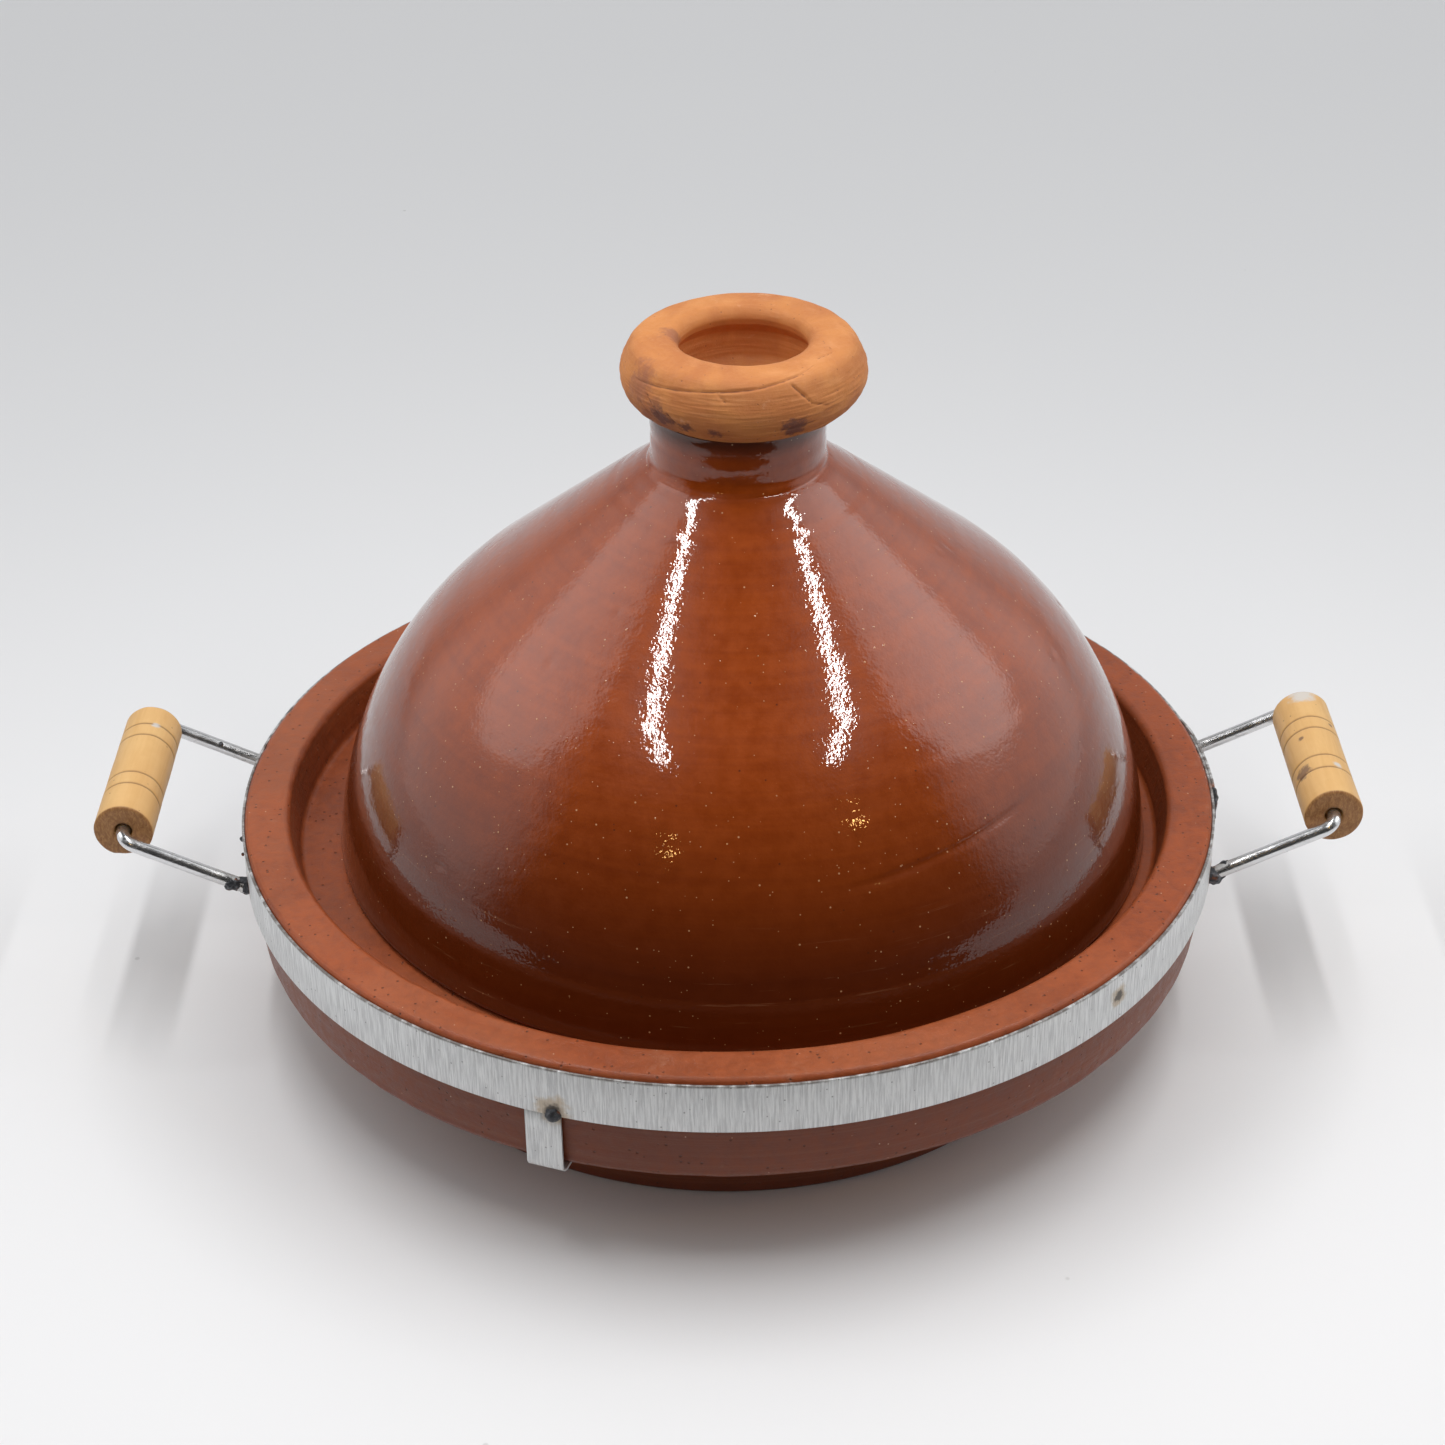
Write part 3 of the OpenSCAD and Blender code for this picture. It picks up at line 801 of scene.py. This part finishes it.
def knob_outline(clay):
    base, lip = clay.neck_z, clay.coil_mid_r - clay.lip_r
    floor = base + clay.well_t
    half = arc((clay.coil_mid_r, 0), clay.coil_r, -90, 90, 60)
    half += arc((clay.coil_mid_r, clay.coil_r - lip), lip, 90, 180, 16)
    half += [(clay.lip_r + 0.0008, clay.coil_r - lip - 0.003), (clay.well_r - 0.0003, 0.0025)]
    flat = clay.coil_h / clay.coil_r
    points = [(0, base)] + [(r, base + clay.coil_h + z * flat) for r, z in half]
    points += arc((clay.well_r - 0.004, floor + 0.004), 0.004, 0, -90, 10)
    return points + [(0, floor - 0.0004)]


# Cracks drawn in the knob: (start turn, start lean, end turn, end lean, width, cut),
# in degrees, with lean measured round the coil from its widest place up to its top.
KNOB_CRACKS = (
    (-150, 22, -112, 34, 2.2, 0.00042), (-112, 34, -84, 41, 1.8, 0.00050),
    (-84, 41, -60, 52, 1.6, 0.00045), (-60, 52, -47, 62, 1.8, 0.00035),
    (-66, 40, -58, 12, 2.0, 0.00060), (-58, 12, -50, 4, 1.8, 0.00040),
    (-104, 36, -99, 24, 2.0, 0.00035), (-40, 70, -27, 64, 1.8, 0.00040),
    (-27, 64, -22, 74, 1.8, 0.00035), (-141, 10, -133, -14, 2.6, 0.00060),
    (-128, -6, -121, -26, 2.4, 0.00055), (-146, -4, -137, -22, 2.2, 0.00045),
    (-72, -20, -56, -15, 2.0, 0.00040), (-66, -34, -50, -30, 2.2, 0.00035),
    (20, 10, 46, -8, 2.2, 0.00050), (70, 35, 108, 22, 2.0, 0.00045),
    (118, -10, 150, 6, 2.4, 0.00050), (165, 30, 192, 16, 2.0, 0.00040),
)


CRACK_SHARE = 1.02      # how much of each listed cut is made


def knob_marks(clay):
    """Score lines, dents and cracks of the hand-rolled coil, and the well's finger line."""
    base = clay.neck_z
    mid = base + clay.coil_h
    draw = random.Random(23)
    cracks = [(*(math.radians(value) for value in crack[:5]), crack[5])
              for crack in KNOB_CRACKS]
    for _ in range(22):
        at, tube = draw.uniform(-math.pi, math.pi), math.radians(draw.uniform(-60, 14))
        run, rise = draw.uniform(0.08, 0.40), draw.uniform(-0.08, 0.08)
        cracks.append((at, tube, at + run, tube + rise, math.radians(1.7),
                       draw.uniform(0.00012, 0.00032)))

    def crack_depth(turn, lean, spot):
        cut = 0.0
        for t0, l0, t1, l1, width, deep in cracks:
            start = wrapped(turn - t0)
            share = (start * (t1 - t0) * 4 + (lean - l0) * (l1 - l0)) \
                / ((t1 - t0) ** 2 * 4 + (l1 - l0) ** 2)
            if -0.15 < share < 1.15:
                off_t = start - share * (t1 - t0)
                off_l = lean - l0 - share * (l1 - l0)
                off = math.hypot(off_t * 2.4, off_l) + 0.020 * noise.noise(spot * 260)
                if abs(off) < width * 2.5:
                    ends = fade(share, -0.15, 0.05) * fade(-share, -1.15, -0.9)
                    cut = max(cut, deep * ends * math.exp(-(off / width) ** 2 * 1.6))
        return CRACK_SHARE * cut

    def push(r, z, turn):
        across, above = r - clay.coil_mid_r, z - mid
        spot = Vector((r * math.cos(turn), r * math.sin(turn), z))
        if z < base + 0.001:
            return 0.0, 0.0
        if r < clay.well_r - 0.003 and z < mid - 0.005:
            swirl = math.sin(2 * math.pi * r / 0.0046 - turn)
            return 0.0, 0.00040 * swirl * fade(r, 0.001, 0.005)
        if across < 0 and z < mid + clay.coil_h * 0.45:
            ring = 0.5 + 0.5 * noise.noise(Vector((z * 620, turn * 0.6, 2)))
            return 0.00055 * ring, 0.0
        lean = math.atan2(above, across)
        depth = 0.00040 * (0.5 + noise.noise(spot * 42)) + 0.00025
        depth += 0.00016 * (0.6 + noise.noise(spot * 210))
        wiped = noise.noise(Vector((lean * 34, turn * 3.0, 4)))
        depth += 0.00030 * wiped * fade(math.radians(42) - lean, 0, 0.5)
        if across > 0:
            depth += crack_depth(turn, lean, spot)
            depth -= 0.00140 * math.exp(-((lean - math.radians(48)) / 0.32) ** 2)
        size = max(math.hypot(across, above), 1e-6)
        rise = -depth * above / size
        return -depth * across / size, min(rise, mid + clay.coil_h - z)
    return push


class TAGINE_OT_knob(bpy.types.Operator):
    """Roll the bare clay knob, with its closed well"""
    bl_idname = "tagine.knob"
    bl_label = "Knob"

    def execute(self, context):
        clay, tints = context.scene.tagine_clay, context.scene.tagine_colours
        middle = clay.lid_x + clay.knob_x
        outline = finer(eased(knob_outline(clay)), 0.00045)
        mesh = turned_mesh("knob_coil", outline, clay.turns + 120, knob_marks(clay))
        mesh.transform(Matrix.Translation((middle, 0, 0)))
        shown("knob_coil", outward(mesh), raw_clay(tints, middle), "lid",
              ["knob"])
        return {"FINISHED"}


# Carrier -------------------------------------------------------------------------------

def flat_section(thick, tall, edge=0.00022):
    """Outline of a flat strip, thick by tall, with softened edges, from (0, 0)."""
    points = []
    for cx, cy, start in ((thick - edge, tall - edge, 0), (edge, tall - edge, 90),
                          (edge, edge, 180), (thick - edge, edge, 270)):
        points += arc((cx, cy), edge, start, start + 90, 3)
    return points


def carrier_finish(context):
    """The strip's material, made once."""
    made = bpy.data.materials.get("galvanised_steel")
    if made:
        return made
    band, clay = context.scene.tagine_carrier, context.scene.tagine_clay
    radius = clay.rim_r + band.band_gap + band.band_t
    low = band.band_top - band.band_h
    burns = [(on_round(radius, math.radians(-43), low + 0.010), 0.0028)]
    burns += [(on_round(radius, band.tab_a + math.radians(120 * i + 1.4), low + 0.0015),
               0.0042) for i in range(3)]
    foot = math.asin(band.rod_y / radius)
    seams = [(on_round(radius, turn, band.rod_z), 0.008)
             for turn in (foot, -foot, math.pi - foot, math.pi + foot)]
    seams += [(on_round(radius, band.lap_start, low + band.band_h * share), 0.006)
              for share in (0.2, 0.5, 0.8)]
    return galvanised_steel(context.scene.tagine_colours, radius, burns, seams)


class TAGINE_OT_band(bpy.types.Operator):
    """Spring the steel strip round the rim and lap it on the right side"""
    bl_idname = "tagine.band"
    bl_label = "Band"

    def execute(self, context):
        band, clay = context.scene.tagine_carrier, context.scene.tagine_clay
        inner = clay.rim_r + band.band_gap
        low = band.band_top - band.band_h
        proud = band.band_t + 0.00006
        start, ease = band.lap_start, math.radians(4)
        stop = start + 2 * math.pi + band.lap_a - math.radians(0.6)
        section = flat_section(band.band_t - 0.00006, band.band_h)
        rings, steps = [], 620
        for i in range(steps + 1):
            turn = start + (stop - start) * i / steps
            lift = proud * (1 - fade(turn, start + band.lap_a, start + band.lap_a + ease))
            wave = 0.00012 * noise.noise(Vector((turn * 5, 0, 7))) - 0.00012
            rings.append([on_round(inner + lift + thick, turn, low + tall + wave)
                          for thick, tall in section])
        shown("band_strip", swept_mesh("band_strip", rings), carrier_finish(context),
              "pot", ["rim_band"])

        draw = random.Random(3)
        where = start - math.radians(0.6)
        balls = [(on_round(inner + band.band_t + draw.uniform(0.0, 0.0005),
                           where + draw.uniform(-0.003, 0.003), low + 0.0015 + 0.0012 * i),
                  draw.uniform(0.0015, 0.0023)) for i in range(14)]
        shown("lap_bead", molten_mesh("lap_bead", balls), weld_finish(context), "pot",
              ["band_lap_weld"])
        return {"FINISHED"}


def weld_finish(context):
    """The weld metal's material, made once."""
    return (bpy.data.materials.get("burnt_weld")
            or burnt_weld(context.scene.tagine_colours))


TAB_NAMES = ("front", "right", "back")


class TAGINE_OT_tabs(bpy.types.Operator):
    """Bend the three tabs that hook the band under the clay, with their plug welds"""
    bl_idname = "tagine.tabs"
    bl_label = "Tabs"

    def execute(self, context):
        band, clay = context.scene.tagine_carrier, context.scene.tagine_clay
        face, bend = clay.rim_r - 0.00115, 0.003
        middle = (face - bend, clay.skirt_z - 0.0012)
        low = middle[1] - bend
        path = [((face, band.tab_top), 0.0), ((face, band.tab_top - 0.012), 0.0)]
        path += [(p, math.radians(-8.0 * i)) for i, p in
                 enumerate(arc(middle, bend, 0, -88, 11))]
        path += [((band.tongue_r + 0.004, low), -math.pi / 2),
                 ((band.tongue_r, low), -math.pi / 2)]
        section = flat_section(band.tab_t, band.tab_w, 0.0002)
        for i, side in enumerate(TAB_NAMES):
            turn = band.tab_a + math.radians(120 * i)
            lift = Matrix.Rotation(turn, 4, "Z")
            rings = []
            for (r, z), lean in path:
                out = Vector((math.cos(lean), 0, math.sin(lean)))
                rings.append([lift @ (Vector((r, 0, z)) + out * thick
                                      + Vector((0, wide - band.tab_w / 2, 0)))
                              for thick, wide in section])
            shown("tab_strip_" + side, swept_mesh("tab_strip_" + side, rings),
                  carrier_finish(context), "pot", ["tab_" + side])
            place = turn + math.radians(1.4)
            edge = clay.rim_r + band.band_gap + band.band_t
            z = band.band_top - band.band_h
            balls = [(on_round(edge - 0.0006, place, z), 0.0027),
                     (on_round(edge - 0.0008, place + 0.004, z + 0.0007), 0.0024),
                     (on_round(edge - 0.0008, place - 0.004, z - 0.0005), 0.0024),
                     (on_round(edge - 0.0012, place - 0.008, z + 0.0012), 0.0018)]
            name = "tab_plug_" + side
            shown(name, molten_mesh(name, balls, rough=0.0002), weld_finish(context), "pot",
                  ["tab_weld_" + side])
        return {"FINISHED"}


def handle_line(band, rod_len):
    """Centre line of a right-hand wire in its own flat plane, as (along the rod, Y)."""
    straight = band.rod_y - band.bend_r
    line = [(-rod_len + rod_len * i / 40, -band.rod_y) for i in range(40)
            if -rod_len + rod_len * i / 40 < -band.bend_r]
    line += arc((-band.bend_r, -straight), band.bend_r, -90, 0, 12)
    line += [(0.0, -straight + 2 * straight * i / 40) for i in range(1, 40)]
    line += arc((-band.bend_r, straight), band.bend_r, 0, 90, 12)
    return line + [(-band.bend_r - (rod_len - band.bend_r) * i / 40, band.rod_y)
                   for i in range(1, 41)]


# Lump at each rod's foot: its size in metres, and the seed of its random lumps
WELDS = {
    ("left", -1): (0.0041, 5), ("left", 1): (0.0036, 6),
    ("right", -1): (0.0048, 7), ("right", 1): (0.0038, 8),
}


# Drops of weld metal on the left of the carrier, as (place, radius)
SPATTER = (
    ((-0.1955, 0.0395, 0.0795), 0.0011), ((-0.1800, -0.0180, 0.0740), 0.0010),
    ((-0.1792, -0.0240, 0.0712), 0.0007),
)


class TAGINE_OT_handles(bpy.types.Operator):
    """Bend the two handle wires and weld their four rods to the band"""
    bl_idname = "tagine.handles"
    bl_label = "Handles"

    def execute(self, context):
        band, clay = context.scene.tagine_carrier, context.scene.tagine_clay
        tints = context.scene.tagine_colours
        finish = plated_wire(tints)
        edge = clay.rim_r + band.band_gap + band.band_t
        rod_x = math.sqrt(edge ** 2 - band.rod_y ** 2)
        rise = math.atan2(band.bar_z - band.rod_z, band.bar_x - rod_x)
        rod_len = math.hypot(band.bar_z - band.rod_z, band.bar_x - rod_x)
        for side, hand in (("left", -1), ("right", 1)):
            along = Vector((hand * math.cos(rise), 0, math.sin(rise)))
            across = Vector((-hand * math.sin(rise), 0, math.cos(rise)))
            bar = Vector((hand * band.bar_x, 0, band.bar_z))
            line = [bar + along * a + Vector((0, b, 0)) for a, b in
                    handle_line(band, rod_len)]
            rings = []
            for i, point in enumerate(line):
                ahead = (line[min(i + 1, len(line) - 1)] - line[max(i - 1, 0)]).normalized()
                beside = ahead.cross(across).normalized()
                wave = across * 0.00018 * noise.noise(point * 45)
                size = band.wire_r * (1 - 0.012 * abs(noise.noise(point * 160)))
                rings.append([point + wave * 0.5 + (beside * math.cos(t) + across
                              * math.sin(t)) * size for t in
                              (2 * math.pi * k / 28 for k in range(28))])
            name = "handle_wire_" + side
            shown(name, swept_mesh(name, rings), finish, "pot",
                  ["wire_" + side])
            for end, back in (("front", -1), ("back", 1)):
                size, seed = WELDS[side, back]
                draw = random.Random(seed)
                foot = Vector((hand * rod_x, back * band.rod_y, band.rod_z))
                balls = [(foot + along * 0.0015 * k + Vector([draw.uniform(-0.0009, 0.0009)
                          for _ in range(3)]), size * draw.uniform(0.66, 0.86) *
                          (1 - 0.05 * k)) for k in range(5)]
                name = f"rod_weld_{side}_{end}"
                shown(name, molten_mesh(name, balls, rough=0.0005), weld_finish(context),
                      "pot", [f"weld_{side}_{end}"])
        for i, (place, size) in enumerate(SPATTER):
            name = f"spatter_{i + 1}"
            mesh = molten_mesh(name, [(Vector(place), size),
                                      (Vector(place) + Vector((0, 0, -size * 0.6)),
                                       size * 0.7)], grain=0.0002, rough=0.0001)
            shown(name, mesh, weld_finish(context), "pot")
        return {"FINISHED"}


class TAGINE_OT_grips(bpy.types.Operator):
    """Turn the two loose wooden grips and thread them on their crossbars"""
    bl_idname = "tagine.grips"
    bl_label = "Grips"

    def execute(self, context):
        grip, band = context.scene.tagine_grip, context.scene.tagine_carrier
        tints = context.scene.tagine_colours
        half, ease = grip.grip_l / 2, 0.0008
        x, z = band.bar_x, band.bar_z
        blemishes = {
            "left": ([((-x - 0.004, -0.0335, z - 0.009), 0.0022)],
                     [((-x + 0.004, 0.022, z + 0.010), 0.0022)]),
            "right": ([((x - 0.008, -0.016, z + 0.006), 0.0042),
                       ((x - 0.006, 0.004, z + 0.009), 0.0015),
                       ((x + 0.007, 0.014, z + 0.008), 0.0013),
                       ((x + 0.009, -0.016, z + 0.005), 0.0012)],
                      [((x - 0.001, 0.032, z + 0.009), 0.0062),
                       ((x + 0.004, -0.016, z + 0.010), 0.0022)]),
        }
        for side, hand, marks in (("left", -1, grip.marks_left),
                                  ("right", 1, grip.marks_right)):
            outline = [(grip.hole_r + 0.0003, -half), (grip.grip_r - ease, -half),
                       (grip.grip_r - ease * 0.3, -half + ease * 0.3),
                       (grip.grip_r, -half + ease)]
            for share in marks:
                at = share * grip.grip_l - half
                outline += [(grip.grip_r, at - 0.0006), (grip.grip_r - grip.groove_d, at),
                            (grip.grip_r, at + 0.0006)]
            outline += [(grip.grip_r, half - ease), (grip.grip_r - ease * 0.3, half
                        - ease * 0.3), (grip.grip_r - ease, half),
                        (grip.hole_r + 0.0003, half), (grip.hole_r, half - 0.0004),
                        (grip.hole_r, -half + 0.0004)]
            outline = finer(outline, 0.0010)

            def worn(r, z_at, turn, hand=hand):
                if r < grip.grip_r - 0.0018:
                    return 0.0, 0.0
                spot = Vector((math.cos(turn), math.sin(turn), z_at * 30 + hand * 4))
                out = -0.00012 * (1 + noise.noise(spot * 2.5))
                if hand < 0 and z_at > half - 0.004 and turn_gap(turn, -math.pi / 2) < 0.5:
                    out -= 0.0008 * fade(z_at, half - 0.004, half) \
                        * fade(0.5 - turn_gap(turn, -math.pi / 2), 0, 0.3)
                return out, 0.0
            name = "grip_turned_" + side
            mesh = turned_mesh(name, outline, 96, worn, loop=True)
            mesh.transform(Matrix.Translation((hand * x, 0, z))
                           @ Matrix.Rotation(math.pi / 2, 4, "X"))
            dirt, bare = blemishes[side]
            finish = pale_wood(tints, "pale_wood_" + side, half, marks, dirt, bare)
            shown(name, outward(mesh), finish, side + "_grip",
                  ["grip_" + side])
        return {"FINISHED"}


# Stage ---------------------------------------------------------------------------------

def lamp(name, place, aim, size, power, warm=(1.0, 1.0, 1.0), glossy=True):
    """A soft panel of light that the camera doesn't see. size is (width, height)."""
    data = bpy.data.lights.new(name, "AREA")
    data.shape = "RECTANGLE"
    data.size, data.size_y = size
    data.energy, data.color = power, warm
    made = bpy.data.objects.new(name, data)
    made.location = place
    made.rotation_euler = (Vector(aim) - Vector(place)).to_track_quat("-Z", "Y").to_euler()
    made.visible_camera = False
    made.visible_glossy = glossy
    bpy.context.scene.collection.objects.link(made)
    return made


def room_light(tree, stage):
    """Light from above for matt surfaces, and the bright walls in SHEENS for glossy ones."""
    def add(kind, settings=(), **inputs):
        made = tree.nodes.new(kind)
        for key, value in dict(settings).items():
            setattr(made, key, value)
        for key, value in inputs.items():
            socket = made.inputs[key.replace("_", " ")]
            if isinstance(value, bpy.types.NodeSocket):
                tree.links.new(value, socket)
            else:
                socket.default_value = value
        return made

    def soft(value, low, high, to_low, to_high):
        return add("ShaderNodeMapRange", {"interpolation_type": "SMOOTHSTEP"}, Value=value,
                   From_Min=low, From_Max=high, To_Min=to_low, To_Max=to_high).outputs[0]

    def joined(how, a, b):
        made = add("ShaderNodeMath", {"operation": how})
        for socket, value in zip(made.inputs, (a, b)):
            if isinstance(value, bpy.types.NodeSocket):
                tree.links.new(value, socket)
            else:
                socket.default_value = value
        return made.outputs[0]

    way = add("ShaderNodeTexCoord").outputs["Generated"]
    _, y, z = add("ShaderNodeSeparateXYZ", Vector=way).outputs
    matt = joined("MULTIPLY", soft(z, -0.05, 0.65, 0.05, 1.0), soft(y, -0.95, 0.1, 0.22, 1.0))
    matt = joined("MULTIPLY", matt, stage.room)
    gloss = stage.room_mirror
    for centre, tight, wide, bright in SHEENS:
        near = add("ShaderNodeVectorMath", {"operation": "DOT_PRODUCT"})
        tree.links.new(way, near.inputs[0])
        near.inputs[1].default_value = Vector(centre).normalized()
        gloss = joined("ADD", gloss,
                       soft(near.outputs["Value"], math.cos(math.radians(wide)),
                            math.cos(math.radians(tight)), 0.0, bright))
    rays = add("ShaderNodeLightPath").outputs
    chosen = add("ShaderNodeMix", {"data_type": "FLOAT"})
    tree.links.new(rays["Is Glossy Ray"], chosen.inputs[0])
    tree.links.new(matt, chosen.inputs[2])
    tree.links.new(gloss, chosen.inputs[3])
    seen = add("ShaderNodeMix", {"data_type": "FLOAT"})
    tree.links.new(rays["Is Camera Ray"], seen.inputs[0])
    tree.links.new(chosen.outputs[0], seen.inputs[2])
    seen.inputs[3].default_value = stage.backdrop
    ground = tree.nodes["Background"]
    ground.inputs[0].default_value = (0.98, 0.99, 1.0, 1.0)
    tree.links.new(seen.outputs[0], ground.inputs[1])


# The room's bright walls as gloss shows them: (direction, inner and outer angle, brightness)
SHEENS = (
    ((-0.72, 0.16, 0.68), 14.0, 21.0, 1.25),
    ((0.74, 0.19, 0.65), 15.0, 22.0, 1.6),
    ((-0.92, 0.18, 0.33), 20.0, 40.0, 0.95),
    ((0.92, 0.25, 0.30), 20.0, 40.0, 1.0),
    ((0.0, 1.0, 0.25), 15.0, 60.0, 0.6),
)


LAMP_Z = 0.59                       # height of the strips and of the warm lamps
STRIP_LAMPS = (("strip_left", -0.20), ("strip_right", 0.24))
STRIP_Y, STRIP_SIZE = -0.12, (0.021, 0.42)
WARM_LAMPS = (("lamp_left", -0.30, -0.76), ("lamp_right", 0.41, -0.57))
WARM_POWER, WARM_TINT = 0.12, (1.0, 0.60, 0.20)


class TAGINE_OT_stage(bpy.types.Operator):
    """Lay the pale floor, hang the lamps and set up the camera"""
    bl_idname = "tagine.stage"
    bl_label = "Stage"

    def execute(self, context):
        scene, stage = context.scene, context.scene.tagine_stage
        bm = bmesh.new()
        bmesh.ops.create_grid(bm, x_segments=24, y_segments=24, size=4.0)
        # the sheet ends a little in front of the pot, so the front stays in half shade
        bmesh.ops.translate(bm, verts=bm.verts, vec=(0, 4.0 - stage.floor_front, 0))
        mesh = bpy.data.meshes.new("floor")
        bm.to_mesh(mesh)
        bm.free()
        floor = bpy.data.objects.new("floor", mesh)
        mesh.materials.append(pale_floor(scene.tagine_colours))
        scene.collection.objects.link(floor)

        for name, x in STRIP_LAMPS:
            lamp(name, (x, STRIP_Y, LAMP_Z), (x, STRIP_Y, 0.0), STRIP_SIZE,
                 stage.strip_power)
        for name, x in (("wall_left", -0.75), ("wall_right", 0.75)):
            lamp(name, (x, 0.0, 0.34), (0, 0, 0.16), (1.0, 0.5), stage.wall_power,
                 glossy=False)
        for name, x, y in WARM_LAMPS:
            lamp(name, (x, y, LAMP_Z), (0, 0, 0.12), (0.03, 0.03), WARM_POWER, WARM_TINT)
        lamp("ceiling_soft", (0.0, 0.25, 1.5), (0, 0, 0), (2.4, 2.4), stage.fill_power,
             glossy=False)

        world = scene.world or bpy.data.worlds.new("tent")
        scene.world = world
        world.use_nodes = True
        room_light(world.node_tree, stage)

        camera = bpy.data.cameras.new("camera")
        camera.lens, camera.sensor_width = stage.lens, 36.0
        camera.clip_start, camera.clip_end = 0.01, 50.0
        holder = bpy.data.objects.new("camera", camera)
        turn = (Euler((stage.pitch, 0, stage.yaw)).to_matrix()
                @ Matrix.Rotation(stage.roll, 3, "Z"))
        holder.matrix_world = Matrix.Translation(stage.camera_at) @ turn.to_4x4()
        scene.collection.objects.link(holder)
        scene.camera = holder
        scene.view_settings.view_transform = "Standard"
        return {"FINISHED"}


# Panel and start -----------------------------------------------------------------------

STEPS = (TAGINE_OT_dish, TAGINE_OT_lid, TAGINE_OT_knob, TAGINE_OT_band, TAGINE_OT_tabs,
         TAGINE_OT_handles, TAGINE_OT_grips, TAGINE_OT_stage)
GROUPS = {"tagine_clay": ClaySizes, "tagine_carrier": CarrierSizes,
          "tagine_grip": GripSizes, "tagine_colours": PotColours,
          "tagine_stage": StageSettings}


class TAGINE_PT_panel(bpy.types.Panel):
    """Lists the steps that build the tagine"""
    bl_idname = "TAGINE_PT_panel"
    bl_label = "Cooking Tagine"
    bl_space_type = "VIEW_3D"
    bl_region_type = "UI"
    bl_category = "Tagine"

    def draw(self, context):
        for step in STEPS:
            self.layout.operator(step.bl_idname)


def register():
    for kind in (*GROUPS.values(), *STEPS, TAGINE_PT_panel):
        bpy.utils.register_class(kind)
    for name, kind in GROUPS.items():
        setattr(bpy.types.Scene, name, PointerProperty(type=kind))


def unregister():
    for name in GROUPS:
        delattr(bpy.types.Scene, name)
    for kind in reversed((*GROUPS.values(), *STEPS, TAGINE_PT_panel)):
        bpy.utils.unregister_class(kind)


def main():
    register()
    bpy.ops.tagine.dish()
    bpy.ops.tagine.lid()
    bpy.ops.tagine.knob()
    bpy.ops.tagine.band()
    bpy.ops.tagine.tabs()
    bpy.ops.tagine.handles()
    bpy.ops.tagine.grips()
    bpy.ops.tagine.stage()


if __name__ == "__main__":
    main()
